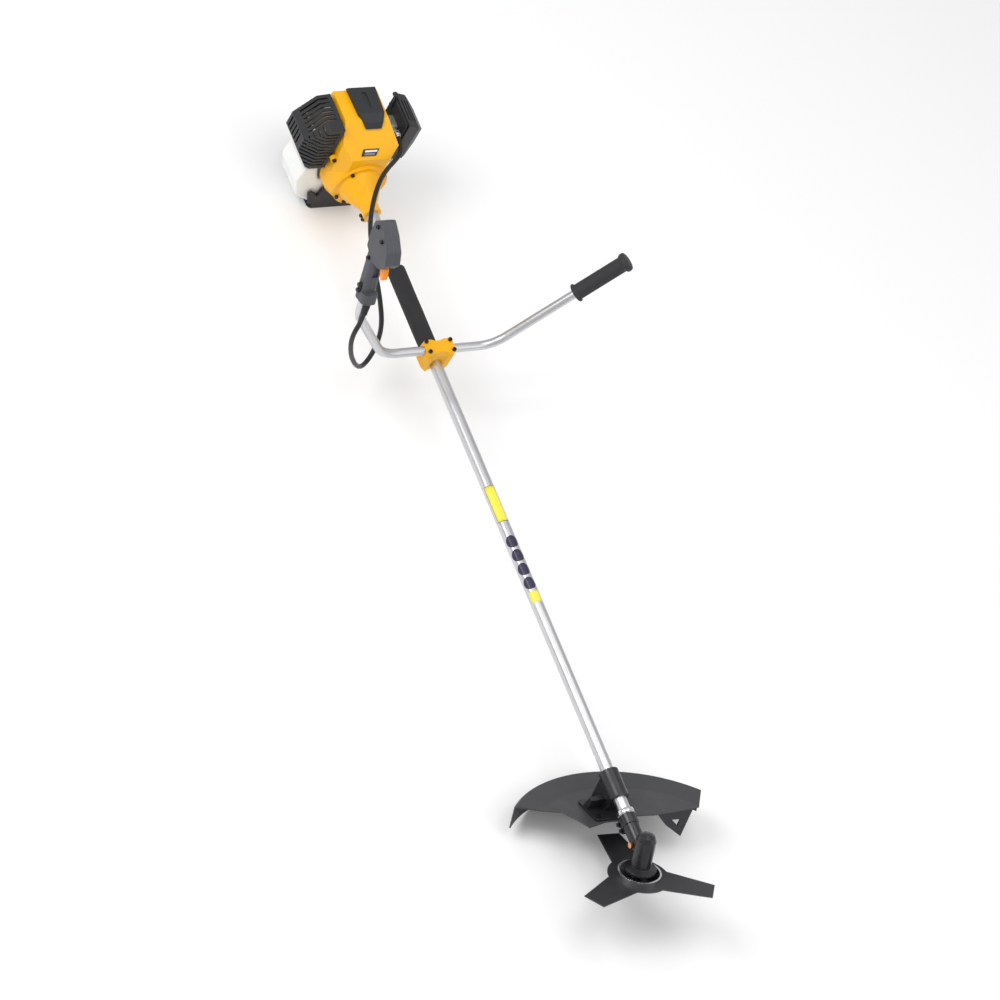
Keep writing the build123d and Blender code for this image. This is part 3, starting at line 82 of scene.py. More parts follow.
def add_camera():
    """Long-lens camera at the photograph's angle, aimed by its offset from the gear head."""
    back = Vector((sin(CAMERA_AZ) * cos(CAMERA_EL), -cos(CAMERA_AZ) * cos(CAMERA_EL),
                   sin(CAMERA_EL)))
    level = Vector((cos(CAMERA_AZ), sin(CAMERA_AZ), 0))
    rise = back.cross(level)
    right = level * cos(CAMERA_ROLL) + rise * sin(CAMERA_ROLL)
    up = back.cross(right)
    aside, above, behind = CAMERA_FROM_HEAD
    place = head + right * aside + up * above + back * behind
    data = bpy.data.cameras.new("camera")
    data.lens = CAMERA_LENS
    data.sensor_width = CAMERA_SENSOR
    data.clip_end = CAMERA_CLIP
    camera = bpy.data.objects.new("camera", data)
    turn = Matrix((right, up, back)).transposed().to_4x4()
    camera.matrix_world = Matrix.Translation(place) @ turn
    bpy.context.scene.collection.objects.link(camera)
    bpy.context.scene.camera = camera


add_camera()


# ---------------------------------------------------------------- materials
def tone(color, factor):
    """A colour scaled in brightness, with alpha added."""
    return (*(min(1.0, channel * factor) for channel in color), 1.0)


class Shader:
    """Node tree of one material, with the few node types that every finish here uses."""

    def __init__(self, name, rough, metallic=0.0, **sockets):
        self.material = bpy.data.materials.new(name)
        self.material.use_nodes = True
        self.tree = self.material.node_tree
        self.bsdf = self.tree.nodes["Principled BSDF"]
        self.bsdf.inputs["Roughness"].default_value = rough
        self.bsdf.inputs["Metallic"].default_value = metallic
        for socket, value in sockets.items():
            self.bsdf.inputs[socket.replace("_", " ")].default_value = value
        self.place = self.node("ShaderNodeTexCoord").outputs["Object"]

    def node(self, kind, **settings):
        made = self.tree.nodes.new(kind)
        for name, value in settings.items():
            setattr(made, name, value)
        return made

    def link(self, source, target):
        self.tree.links.new(source, target)

    def noise(self, scale, detail=4.0, rough=0.6, place=None):
        made = self.node("ShaderNodeTexNoise")
        made.inputs["Scale"].default_value = scale
        made.inputs["Detail"].default_value = detail
        made.inputs["Roughness"].default_value = rough
        self.link(place or self.place, made.inputs["Vector"])
        return made.outputs["Fac"]

    def voronoi(self, scale, place=None):
        made = self.node("ShaderNodeTexVoronoi")
        made.inputs["Scale"].default_value = scale
        self.link(place or self.place, made.inputs["Vector"])
        return made.outputs["Distance"]

    def stretched(self, scale):
        """Object place stretched by a factor on each axis."""
        made = self.node("ShaderNodeMapping")
        made.inputs["Scale"].default_value = scale
        self.link(self.place, made.inputs["Vector"])
        return made.outputs["Vector"]

    def span(self, value, low, high, from_low=0.0, from_high=1.0):
        made = self.node("ShaderNodeMapRange")
        limits = {"From Min": from_low, "From Max": from_high, "To Min": low, "To Max": high}
        for socket, number in limits.items():
            made.inputs[socket].default_value = number
        self.link(value, made.inputs["Value"])
        return made.outputs["Result"]

    def mix(self, factor, first, second):
        made = self.node("ShaderNodeMix", data_type="RGBA")
        self.link(factor, made.inputs["Factor"])
        for value, socket in ((first, made.inputs["A"]), (second, made.inputs["B"])):
            if isinstance(value, tuple):
                socket.default_value = value
            else:
                self.link(value, socket)
        return made.outputs["Result"]

    def edges(self, radius, lowest=0.90):
        """1 on sharp edges, 0 on flats: how far the rounded normal leans from the true one."""
        rounded = self.node("ShaderNodeBevel", samples=4)
        rounded.inputs["Radius"].default_value = radius
        true_normal = self.node("ShaderNodeNewGeometry").outputs["Normal"]
        lean = self.node("ShaderNodeVectorMath", operation="DOT_PRODUCT")
        self.link(rounded.outputs["Normal"], lean.inputs[0])
        self.link(true_normal, lean.inputs[1])
        return self.span(lean.outputs["Value"], 1.0, 0.0, lowest, 0.995)

    def relief(self, height, distance, strength, bevel=0.0):
        """Bump from a height, over edges rounded by bevel."""
        bump = self.node("ShaderNodeBump")
        bump.inputs["Distance"].default_value = distance
        bump.inputs["Strength"].default_value = strength
        self.link(height, bump.inputs["Height"])
        if bevel:
            rounded = self.node("ShaderNodeBevel", samples=4)
            rounded.inputs["Radius"].default_value = bevel
            self.link(rounded.outputs["Normal"], bump.inputs["Normal"])
        self.link(bump.outputs["Normal"], self.bsdf.inputs["Normal"])

    def finish(self, color, rough=None):
        self.link(color, self.bsdf.inputs["Base Color"])
        if rough is not None:
            self.link(rough, self.bsdf.inputs["Roughness"])
        return self.material


def moulded(name, color, rough, grain=900.0, depth=0.00006, wear=1.7, bevel=0.0008, **sockets):
    """Moulded plastic: fine spark grain, slow tone drift and paler rubbed edges."""
    shader = Shader(name, rough, **sockets)
    drift = shader.noise(9.0)
    base = shader.mix(drift, tone(color, 0.86), tone(color, 1.14))
    rubbed = shader.mix(shader.edges(bevel), base, tone(color, wear))
    fine = shader.noise(grain, 2.0)
    shader.relief(fine, depth, 0.6, bevel)
    sheen = shader.span(shader.noise(30.0), rough - 0.06, rough + 0.08, 0.3, 0.7)
    return shader.finish(rubbed, sheen)


def metal(name, color, rough, stretch=(1, 1, 1), scale=300.0, depth=0.00002, drift=0.12,
          bevel=0.0005, **sockets):
    """Bare metal: drawn or turned streaks along one axis and a little tarnish."""
    shader = Shader(name, rough, 1.0, **sockets)
    streaks = shader.noise(scale, 3.0, 0.6, shader.stretched(stretch))
    base = shader.mix(shader.noise(12.0), tone(color, 1 - drift), tone(color, 1 + drift))
    shader.relief(streaks, depth, 0.5, bevel)
    return shader.finish(base, shader.span(streaks, rough - 0.08, rough + 0.10, 0.3, 0.7))


def painted(name, color, rough, bare, bevel=0.0007, texture=220.0, depth=0.00025):
    """Painted casting: orange-peel relief, dust in the tone and metal showing on edges."""
    shader = Shader(name, rough)
    base = shader.mix(shader.noise(25.0), tone(color, 0.8), tone(color, 1.25))
    chips = shader.node("ShaderNodeMath", operation="MULTIPLY")
    shader.link(shader.edges(bevel, 0.82), chips.inputs[0])
    shader.link(shader.span(shader.noise(140.0), 0.0, 1.0, 0.50, 0.62), chips.inputs[1])
    worn = shader.mix(chips.outputs["Value"], base, tone(bare, 1.0))
    shader.relief(shader.noise(texture, 3.0), depth, 0.35, bevel)
    sheen = shader.span(shader.noise(40.0), rough - 0.08, rough + 0.12, 0.3, 0.7)
    return shader.finish(worn, sheen)


YELLOW = (0.94, 0.44, 0.003)
CHARCOAL = (0.016, 0.017, 0.019)
materials = {
    "yellow": moulded("yellow_plastic", YELLOW, 0.30, 500.0, 0.00003, 1.25, 0.0012,
                      Coat_Weight=0.12, Coat_Roughness=0.2, Specular_IOR_Level=0.3),
    "charcoal": moulded("charcoal_plastic", CHARCOAL, 0.50, 1100.0, 0.00010, 2.6, 0.0009),
    "housing": moulded("throttle_plastic", (0.060, 0.062, 0.072), 0.52, 620.0, 0.00035, 1.8,
                       0.0016),
    "stand": moulded("stand_plastic", (0.018, 0.018, 0.020), 0.55, 700.0, 0.00010, 2.4, 0.0010),
    "guard": moulded("guard_plastic", (0.042, 0.043, 0.046), 0.50, 800.0, 0.00012, 2.2, 0.0012),
    "trigger": moulded("trigger_plastic", (0.90, 0.27, 0.01), 0.35, 600.0, 0.00003, 1.2, 0.0008),
    "switch": moulded("switch_plastic", (0.012, 0.012, 0.014), 0.38, 600.0, 0.00003, 2.0, 0.0008),
    "resin": moulded("coil_resin", (0.04, 0.04, 0.04), 0.45, 300.0),
    "cast": metal("cast_metal", (0.62, 0.62, 0.63), 0.48, scale=500.0, depth=0.00012),
    "steel": metal("machined_steel", (0.60, 0.60, 0.62), 0.30, (1, 1, 8)),
    "bright": metal("bright_steel", (0.70, 0.70, 0.71), 0.17, (1, 1, 5), depth=0.00001, drift=0.04),
    "exhaust": metal("muffler_steel", (0.36, 0.33, 0.30), 0.42, (1, 1, 1), 90.0, 0.00006, 0.25),
    "copper": metal("copper_plug", (0.80, 0.36, 0.18), 0.25, (1, 6, 1)),
    "black_oxide": metal("black_oxide", (0.055, 0.055, 0.06), 0.36, (1, 1, 1), 400.0, 0.00004,
                         0.2),
    "casting": painted("black_casting", (0.012, 0.012, 0.014), 0.26, (0.30, 0.30, 0.31)),
    "bracket": painted("black_bracket", (0.014, 0.014, 0.016), 0.34, (0.22, 0.22, 0.23)),
}


def drawn_tube(name, along):
    """Bright drawn aluminium: long scratches along the tube and faint smudges."""
    shader = Shader(name, 0.33, 1.0)
    stretch = tuple(0.03 if axis == along else 1.0 for axis in "xyz")
    scratches = shader.noise(900.0, 4.0, 0.7, shader.stretched(stretch))
    base = shader.mix(shader.noise(7.0), (0.55, 0.55, 0.57, 1), (0.66, 0.66, 0.67, 1))
    shader.relief(scratches, 0.00002, 0.5)
    return shader.finish(base, shader.span(shader.noise(18.0), 0.26, 0.42, 0.3, 0.7))


def tank_plastic():
    """Milky polyethylene: light comes through, with faint flow marks from the blow mould."""
    shader = Shader("tank_plastic", 0.42, Subsurface_Weight=0.35, Subsurface_Scale=0.004, IOR=1.5)
    flow = shader.noise(14.0, 5.0, 0.6, shader.stretched((1, 1, 3)))
    base = shader.mix(flow, (0.80, 0.81, 0.79, 1), (0.94, 0.95, 0.93, 1))
    shader.relief(shader.noise(260.0, 2.0), 0.00015, 0.4, 0.002)
    return shader.finish(base, shader.span(shader.noise(50.0), 0.34, 0.50, 0.3, 0.7))


def blade_steel():
    """Dark rolled steel: paler ground band at the cutting tips, fine rolling lines."""
    shader = Shader("blade_steel", 0.42, 0.75)
    scale = shader.noise(60.0, 6.0, 0.7)
    base = shader.mix(scale, (0.040, 0.041, 0.045, 1), (0.085, 0.087, 0.093, 1))
    bright_edge = shader.mix(shader.edges(0.0012, 0.80), base, (0.30, 0.30, 0.31, 1))
    shader.relief(shader.noise(420.0, 4.0), 0.00006, 0.5, 0.0004)
    return shader.finish(bright_edge, shader.span(scale, 0.34, 0.56, 0.3, 0.7))


def rubber(name, color, rough=0.6, grain=1500.0, depth=0.00015):
    """Rubber or soft foam: pores, dusty tone."""
    shader = Shader(name, rough, Specular_IOR_Level=0.35)
    pores = shader.voronoi(grain)
    base = shader.mix(shader.noise(35.0), tone(color, 0.8), tone(color, 1.35))
    shader.relief(pores, depth, 0.5)
    return shader.finish(base, shader.span(shader.noise(70.0), rough - 0.06, rough + 0.1, 0.3, 0.7))


def vinyl(name, color, rough=0.32):
    """Printed film: even colour with print speckle and a few scuffs."""
    shader = Shader(name, rough, Coat_Weight=0.3, Coat_Roughness=0.25)
    base = shader.mix(shader.noise(160.0, 3.0), tone(color, 0.93), tone(color, 1.05))
    shader.relief(shader.noise(500.0, 2.0), 0.00002, 0.3)
    return shader.finish(base, shader.span(shader.noise(60.0), rough - 0.04, rough + 0.1, 0.3, 0.7))


def silicone():
    """Clear primer bulb, slightly yellowed."""
    shader = Shader("clear_silicone", 0.18, Transmission_Weight=0.55, IOR=1.41)
    base = shader.mix(shader.noise(60.0), (0.80, 0.74, 0.58, 1), (0.92, 0.89, 0.78, 1))
    shader.relief(shader.noise(200.0), 0.00005, 0.3)
    return shader.finish(base)


def fibre(name, dark, light, scale, rough=0.85):
    """Felt or braid: short fibres over a soft two-tone base."""
    shader = Shader(name, rough, Sheen_Weight=0.4, Sheen_Roughness=0.4)
    strands = shader.noise(scale, 6.0, 0.75)
    shader.relief(strands, 0.0003, 0.8)
    return shader.finish(shader.mix(strands, (*dark, 1), (*light, 1)))


materials.update({
    "tube": drawn_tube("drawn_tube", "x"),
    "bar": drawn_tube("bar_tube", "y"),
    "tank": tank_plastic(),
    "blade": blade_steel(),
    "foam": rubber("sleeve_foam", (0.022, 0.022, 0.024), 0.78, 1400.0, 0.00035),
    "grip": rubber("grip_rubber", (0.026, 0.026, 0.029), 0.60),
    "rubber": rubber("black_rubber", (0.012, 0.012, 0.013), 0.42, 900.0, 0.00006),
    "silicone": silicone(),
    "felt": fibre("filter_felt", (0.42, 0.38, 0.28), (0.70, 0.66, 0.55), 700.0),
    "braid": fibre("rope_braid", (0.50, 0.49, 0.46), (0.85, 0.84, 0.80), 1400.0),
    "film_yellow": vinyl("film_yellow", (0.86, 0.76, 0.05)),
    "film_dark": vinyl("film_dark", (0.010, 0.008, 0.045)),
    "film_pale": vinyl("film_pale", (0.85, 0.85, 0.88)),
    "film_black": vinyl("film_black", (0.012, 0.012, 0.012)),
    "film_grey": vinyl("film_grey", (0.22, 0.20, 0.22)),
})

node_material = {
    "yellow": ["clutch_housing", "fan_cover", "clamp_base", "clamp_body", "clamp_cap"],
    "charcoal": ["top_cover", "muffler_guard", "air_filter_cover", "air_filter_base",
                 "starter_cover", "starter_grip", "starter_pulley", "fuel_cap"],
    "housing": ["throttle_housing_inner", "throttle_housing_outer", "lockout_lever"],
    "stand": ["engine_stand", "choke_lever"],
    "guard": ["guard"],
    "trigger": ["throttle_trigger"],
    "switch": ["stop_switch"],
    "resin": ["ignition_coil"],
    "cast": ["crankcase", "cylinder", "piston", "carburetor", "flywheel", "clutch_shoes"],
    "steel": ["crankshaft", "connecting_rod", "drive_shaft", "pinion_gear", "bevel_gear",
              "output_shaft", "ball_bearings", "lower_flange", "blade_nut", "clutch_drum",
              "carburetor_lever", "harness_clamp"],
    "bright": ["upper_flange"],
    "exhaust": ["muffler"],
    "copper": ["grease_plug"],
    "black_oxide": ["socket_screws", "line_cutter"],
    "casting": ["gear_case"],
    "bracket": ["guard_bracket"],
    "tube": ["main_tube"],
    "bar": ["handlebar"],
    "tank": ["fuel_tank"],
    "blade": ["blade"],
    "foam": ["foam_sleeve"],
    "grip": ["left_grip"],
    "rubber": ["fuel_hoses", "spark_plug", "throttle_cable", "shaft_bushings"],
    "silicone": ["primer_bulb"],
    "felt": ["air_filter_element"],
    "braid": ["starter_rope"],
}
for finish_name, members in node_material.items():
    for member in members:
        node_slots = nodes[member].data.materials
        node_slots.clear()
        node_slots.append(materials[finish_name])


# ---------------------------------------------------------------- mesh helpers
def piece(name, verts, faces, finish, body="machine", smooth=True, thick=0.0):
    """Mesh object with a finish, riding on a body if one is given, else on none.
    thick gives an open sheet its thickness."""
    mesh = bpy.data.meshes.new(name)
    mesh.from_pydata([tuple(v) for v in verts], [], faces)
    made = bmesh.new()
    made.from_mesh(mesh)
    bmesh.ops.remove_doubles(made, verts=made.verts, dist=1e-6)
    bmesh.ops.recalc_face_normals(made, faces=made.faces)
    made.to_mesh(mesh)
    made.free()
    if smooth:
        mesh.shade_smooth()
    obj = bpy.data.objects.new(name, mesh)
    bpy.context.scene.collection.objects.link(obj)
    mesh.materials.append(materials[finish])
    if thick:
        shell = obj.modifiers.new("thickness", "SOLIDIFY")
        shell.thickness = thick
        shell.offset = 0
    if body:
        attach(obj, body)
    return obj


def square_to(axis):
    """Two unit vectors square to an axis and to each other."""
    aside = Z if abs(axis.z) < 0.9 else X
    across = axis.cross(aside).normalized()
    return across, axis.cross(across)


def grid_faces(rows, columns, wrap_columns=True, wrap_rows=False):
    """Quads over a grid of rows of points."""
    faces = []
    for i in range(rows if wrap_rows else rows - 1):
        for j in range(columns if wrap_columns else columns - 1):
            n, m = (i + 1) % rows, (j + 1) % columns
            faces.append((i * columns + j, i * columns + m, n * columns + m, n * columns + j))
    return faces


def turned(name, origin, axis, profile, finish, body="machine", segments=48, shape=None):
    """Closed solid of revolution: profile is (radius, height) pairs along the axis.
    shape may scale the radius by angle and height."""
    across, along = square_to(axis)
    verts = []
    for radius, height in profile:
        for k in range(segments):
            angle = 2 * pi * k / segments
            reach = radius * (shape(angle, height) if shape and radius > 0 else 1)
            outward = across * cos(angle) + along * sin(angle)
            verts.append(origin + axis * height + outward * reach)
    faces = grid_faces(len(profile), segments, wrap_rows=profile[0][0] > 0 and profile[-1][0] > 0)
    return piece(name, verts, faces, finish, body)


def swept(name, path, section, finish, body="machine"):
    """Section of (across, up) points carried along a path of points, closed at both ends."""
    verts, count, last = [], len(section), len(path) - 1
    for i, point in enumerate(path):
        heading = (path[min(i + 1, last)] - path[max(i - 1, 0)]).normalized()
        across = heading.cross(Z if abs(heading.z) < 0.99 else Y).normalized()
        up = across.cross(heading)
        verts += [point + across * a + up * u for a, u in section]
    faces = grid_faces(len(path), count)
    faces += [tuple(range(count)), tuple(range(last * count, len(path) * count))]
    return piece(name, verts, faces, finish, body)


def round_section(radius, count):
    """Points round a circle, for swept and braided pieces."""
    angles = [2 * pi * k / count for k in range(count)]
    return [(radius * cos(angle), radius * sin(angle)) for angle in angles]


def block(name, corner_points, depth, finish, bevel):
    """Prism: a flat outline of points pushed along depth, with rounded edges."""
    count = len(corner_points)
    verts = list(corner_points) + [point + depth for point in corner_points]
    faces = [tuple(range(count)), tuple(range(2 * count - 1, count - 1, -1))]
    faces += [(k, (k + 1) % count, count + (k + 1) % count, count + k) for k in range(count)]
    made = piece(name, verts, faces, finish, smooth=False)
    rounding = made.modifiers.new("rounding", "BEVEL")
    rounding.width = bevel
    rounding.segments = 3
    rounding.limit_method = "ANGLE"
    made.data.shade_smooth()
    return made


# ---------------------------------------------------------------- throttle cable
CABLE_R = 0.0051
# from the foot of the throttle grip, down and back to the carburettor
cable_route = [
    (0.5562, -0.2462, 0.3656), (0.5688, -0.2462, 0.3255), (0.574, -0.252, 0.274),
    (0.567, -0.226, 0.208), (0.557, -0.192, 0.152), (0.542, -0.156, 0.108),
    (0.522, -0.126, 0.088), (0.502, -0.103, 0.096), (0.487, -0.094, 0.124),
    (0.475, -0.097, 0.158), (0.461, -0.107, 0.192), (0.44, -0.121, 0.232),
    (0.402, -0.13, 0.264), (0.34, -0.114, 0.266), (0.285, -0.088, 0.25),
    (0.232, -0.057, 0.242), (0.181, -0.022, 0.238), (0.143, 0.015, 0.23),
    (0.119, 0.046, 0.223), (0.099, 0.069, 0.225), (0.077, 0.074, 0.229),
    (0.05, 0.074, 0.229)]


def nurbs_cord(name, points, radius, finish, body):
    """Smooth cord: one open NURBS spline with the route's points as its control points."""
    data = bpy.data.curves.new(name, "CURVE")
    data.dimensions = "3D"
    spline = data.splines.new("NURBS")
    spline.points.add(len(points) - 1)
    for control, point in zip(spline.points, points):
        control.co = (*point, 1)
    spline.order_u = 3
    spline.use_endpoint_u = True
    spline.resolution_u = 10
    data.bevel_depth = radius
    data.bevel_resolution = 5
    data.use_fill_caps = True
    data.materials.append(materials[finish])
    obj = bpy.data.objects.new(name, data)
    bpy.context.scene.collection.objects.link(obj)
    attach(obj, body)
    return obj


def spline_points(obj):
    """Points along a curve's own line, read from the curve with its bevel off."""
    bare = obj.data.copy()
    bare.bevel_depth = 0
    probe = bpy.data.objects.new("probe", bare)
    mesh = bpy.data.meshes.new_from_object(probe)
    points = [vertex.co.copy() for vertex in mesh.vertices]
    bpy.data.objects.remove(probe)
    bpy.data.meshes.remove(mesh)
    return points


cable = nurbs_cord("throttle_cable_sheath", cable_route, CABLE_R, "rubber",
                   "machine")
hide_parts("throttle_cable")
cable_line = spline_points(cable)
cable_exit, cable_heading = cable_line[0], (cable_line[1] - cable_line[0]).normalized()
boot_ribs = []  # (radius, reach) of seven ribs that taper away from the grip
for step in range(7):
    reach = 0.0006 + step * 0.0042
    swell = 0.0080 - step * 0.00030
    boot_ribs += [(swell - 0.0008, reach), (swell, reach + 0.0008), (swell, reach + 0.0024),
                  (swell - 0.0008, reach + 0.0032)]
boot = turned("cable_boot", cable_exit, cable_heading,
              [(CABLE_R, 0.0004), *boot_ribs, (CABLE_R, 0.031)], "rubber")
cable_stop = cable_line[-1]
ferrule = turned("cable_ferrule", cable_stop, X,
                 [(CABLE_R, 0.0002), (0.0060, 0.0002), (0.0060, 0.012), (0.0056, 0.013),
                  (CABLE_R, 0.0131)], "bright")
adjuster = turned("cable_adjuster", cable_stop, X,
                  [(0.0060, 0.0035), (0.0082, 0.0035), (0.0082, 0.0085), (0.0060, 0.0085)],
                  "steel", segments=6)

# inner wire, from the adjuster's bracket to the carburettor's arm
arm_low, arm_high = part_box("carburetor_lever")
arm_pin = Vector(joints["carb_throttle"]["pos_m"])
wire_end = Vector((arm_pin.x + 0.0005, arm_low.y + 0.003, arm_high.z + 0.0007))
wire_start = Vector((cable_stop.x - 0.0035, cable_stop.y, wire_end.z))
wire_path = [wire_start.lerp(wire_end, k / 12) for k in range(13)]
wire = swept("throttle_wire", wire_path, round_section(0.0006, 8), "bright", None)
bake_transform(wire)
turned("wire_nipple", wire_end - Z * 0.0007, Z,
       [(0, 0.0001), (0.0022, 0.0001), (0.0022, 0.0018), (0, 0.0018)], "bright",
       "carb_arm", 20)

# ---------------------------------------------------------------- soft pieces
sleeve_low, sleeve_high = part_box("foam_sleeve")


def foam_shape(angle, height):
    """Foam's hand-pressed unevenness: slow waves and a faint seam."""
    slow = noise.noise(Vector((cos(angle) * 1.5, sin(angle) * 1.5, height * 22)))
    seam = 0.012 * max(0.0, cos(angle - 2.4)) ** 60
    return 0.985 + 0.012 * slow - seam


sleeve_length = sleeve_high.x - sleeve_low.x
sleeve_r = (sleeve_high.z - sleeve_low.z) / 2
# (drop from the sleeve's radius, distance from its end) of the rounded rim
SLEEVE_RIM = [(0.0032, 0.0), (0.0012, 0.0008), (0.0002, 0.0025)]
sleeve_profile = [(TUBE_R, 0.0), *[(sleeve_r - drop, reach) for drop, reach in SLEEVE_RIM]]
sleeve_profile += [(sleeve_r, 0.004 + (sleeve_length - 0.008) * k / 60) for k in range(61)]
sleeve_profile += [(sleeve_r - drop, sleeve_length - reach) for drop, reach in SLEEVE_RIM[::-1]]
sleeve_profile += [(TUBE_R, sleeve_length)]
foam = turned("foam_sleeve_soft", Vector((sleeve_low.x, 0, SHAFT_Z)), X, sleeve_profile, "foam",
              segments=72, shape=foam_shape)
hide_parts("foam_sleeve")

# left grip, over the end of the handlebar's straight arm
arm_dir = Vector((0, 0.606, 0.795)).normalized()
bar_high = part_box("handlebar")[1]
BAR_R = 0.0095
bar_end = Vector((clamp_x, bar_high.y - BAR_R * arm_dir.z, bar_high.z - BAR_R * arm_dir.y))
GRIP_LENGTH = 0.130
grip_start = bar_end - arm_dir * (GRIP_LENGTH - 0.006)


def rib_shape(angle, height):
    """Raised lozenges round the rubber grip, with bare bands at both ends."""
    if not 0.012 < height < GRIP_LENGTH - 0.020:
        return 1.0
    wave = sin(angle * 9 + height * 500) * sin(angle * 9 - height * 500)
    return 1.0 - 0.035 * (wave > 0.12)


grip_profile = [(BAR_R, 0.0), (0.0185, 0.0), (0.0200, 0.0012), (0.0200, 0.0044),
                (0.0180, 0.0058), (0.0163, 0.0075)]
grip_profile += [(0.0165, 0.009 + (GRIP_LENGTH - 0.024) * k / 88) for k in range(89)]
# (radius, distance from the closed end) of the end flange, then of the hollow for the bar
GRIP_END = [(0.0172, 0.0135), (0.0192, 0.0118), (0.0204, 0.0095), (0.0205, 0.0045),
            (0.0193, 0.0015), (0.0165, 0.0002), (0.0060, 0.0), (0, 0.0), (0, 0.0055),
            (BAR_R, 0.0055)]
grip_profile += [(radius, GRIP_LENGTH - back) for radius, back in GRIP_END]
left_grip = turned("left_grip_rubber", grip_start, arm_dir, grip_profile, "grip",
                   segments=144, shape=rib_shape)
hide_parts("left_grip")

# primer bulb
bulb_low, bulb_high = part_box("primer_bulb")
bulb_centre = Vector(((bulb_low.x + bulb_high.x) / 2, (bulb_low.y + bulb_high.y) / 2, bulb_low.z))
bulb_height = bulb_high.z - bulb_low.z
bulb = turned("primer_bulb_soft", bulb_centre, Z,
              [(0, 0), (0.0022, 0.0002), (0.0043, 0.0012), (0.0056, 0.0030), (0.0062, 0.0055),
               (0.0064, 0.0085), (0.0072, bulb_height - 0.0018), (0.0079, bulb_height - 0.0012),
               (0.0079, bulb_height), (0.0056, bulb_height), (0.0050, 0.0060),
               (0.0038, 0.0030), (0, 0.0015)],
              "silicone", "primer", 40)
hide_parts("primer_bulb")

# starter rope
rope_low, rope_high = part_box("starter_rope")
rope_x, rope_z = (rope_low.x + rope_high.x) / 2, (rope_low.z + rope_high.z) / 2
rope_start, rope_end = Vector((rope_x, rope_low.y, rope_z)), Vector((rope_x, rope_high.y, rope_z))
ROPE_R = 0.00175
STRAND_SIDES = 6


def braided(name, start, end, radius, strands, pitch, steps, finish, body):
    """Braid of helical strands, wound both ways, from start to end."""
    axis = (end - start).normalized()
    across, along = square_to(axis)
    length = (end - start).length
    verts, faces = [], []
    strand_r = radius * 0.42
    section = round_section(strand_r, STRAND_SIDES)
    ring = range(STRAND_SIDES)
    for strand in range(strands):
        turn_way = 1 if strand % 2 else -1
        first = len(verts)
        for i in range(steps + 1):
            t = i / steps
            angle = turn_way * 2 * pi * t * length / pitch + 2 * pi * strand / strands
            outward = across * cos(angle) + along * sin(angle)
            centre = start + axis * (length * t) + outward * (radius - strand_r)
            verts += [centre + outward * a + outward.cross(axis) * u for a, u in section]
        strand_faces = grid_faces(steps + 1, STRAND_SIDES)
        strand_faces += [tuple(ring), tuple(steps * STRAND_SIDES + j for j in ring)]
        faces += [tuple(first + corner for corner in face) for face in strand_faces]
    return piece(name, verts, faces, finish, body)


rope = braided("starter_rope_braid", rope_start, rope_end, ROPE_R, 8, 0.014, 60, "braid",
               None)
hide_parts("starter_rope")
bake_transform(rope)

# ---------------------------------------------------------------- pieces on the tube
LABEL_TURN = radians(20)  # from straight up towards the operator's right
FILM = 0.00012  # thickness of a film


def on_tube(x, arc, lift):
    """Point on the drive tube: along it, round it by arc length, lifted off its skin."""
    angle = LABEL_TURN - arc / TUBE_R
    radius = TUBE_R + lift
    return Vector((x, -radius * sin(angle), SHAFT_Z + radius * cos(angle)))


def tube_patch(name, rows, finish, lift=0.0001):
    """Film on the tube: rows of (x, arc) points, all the same length."""
    count = len(rows[0])
    verts = [on_tube(x, arc, lift) for row in rows for x, arc in row]
    faces = grid_faces(len(rows), count, wrap_columns=False)
    return piece(name, verts, faces, finish, thick=FILM)


def tube_disc(name, x, radius, finish, lift=0.0001):
    """Disc of film on the tube, with a pinhole at its centre."""
    steps, bands, pinhole = 48, 6, 0.0002
    radii = [pinhole + (radius - pinhole) * k / bands for k in range(bands + 1)]
    rows = []
    for i in range(steps + 1):
        angle = 2 * pi * i / steps
        rows.append([(x + reach * cos(angle), reach * sin(angle)) for reach in radii])
    return tube_patch(name, rows, finish, lift)


def tube_rectangle(name, x, length, width, finish, lift=0.0001):
    """Rectangle of film on the tube."""
    rows = [[(x + length * (i / 8 - 0.5), width * (j / 16 - 0.5)) for j in range(17)]
            for i in range(9)]
    return tube_patch(name, rows, finish, lift)


# plain films: a framed panel, four discs and a small patch
label_start = clamp_x + 0.324
tube_rectangle("label_panel", label_start + 0.0425, 0.085, 0.024, "film_black")
tube_rectangle("label_panel_face", label_start + 0.0425, 0.083, 0.022, "film_yellow", 0.0003)
for index in range(4):
    tube_disc(f"label_disc_{index}", label_start + 0.1335 + 0.0330 * index, 0.0138, "film_dark")
tube_rectangle("label_patch", label_start + 0.264, 0.025, 0.022, "film_yellow")

# bright collar between the guard's bracket and the gear case
collar_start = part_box("guard_bracket")[1].x
collar_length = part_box("gear_case")[0].x - collar_start
turned("tube_collar", Vector((collar_start, 0, SHAFT_Z)), X,
       [(TUBE_R, 0.0004), (0.0172, 0.0004), (0.0180, 0.0012), (0.0180, 0.0100),
        (0.0176, 0.0106), (0.0176, 0.0114), (0.0180, 0.0120), (0.0180, collar_length - 0.0012),
        (0.0172, collar_length - 0.0004), (TUBE_R, collar_length - 0.0004)],
       "bright", segments=64)

# ---------------------------------------------------------------- pieces on the engine and head
# blank plate on the fan cover's front slope
slope_normal = Vector((0.7256, 0, 0.6881))
slope_up = Vector((-0.6881, 0, 0.7256))
slope_foot = Vector((0.1080, 0, SHAFT_Z + 0.080))


def on_slope(y, up, lift=0.0):
    """Point on the fan cover's front slope: to the left, up the slope, off its face."""
    return slope_foot + Y * y + slope_up * up + slope_normal * lift


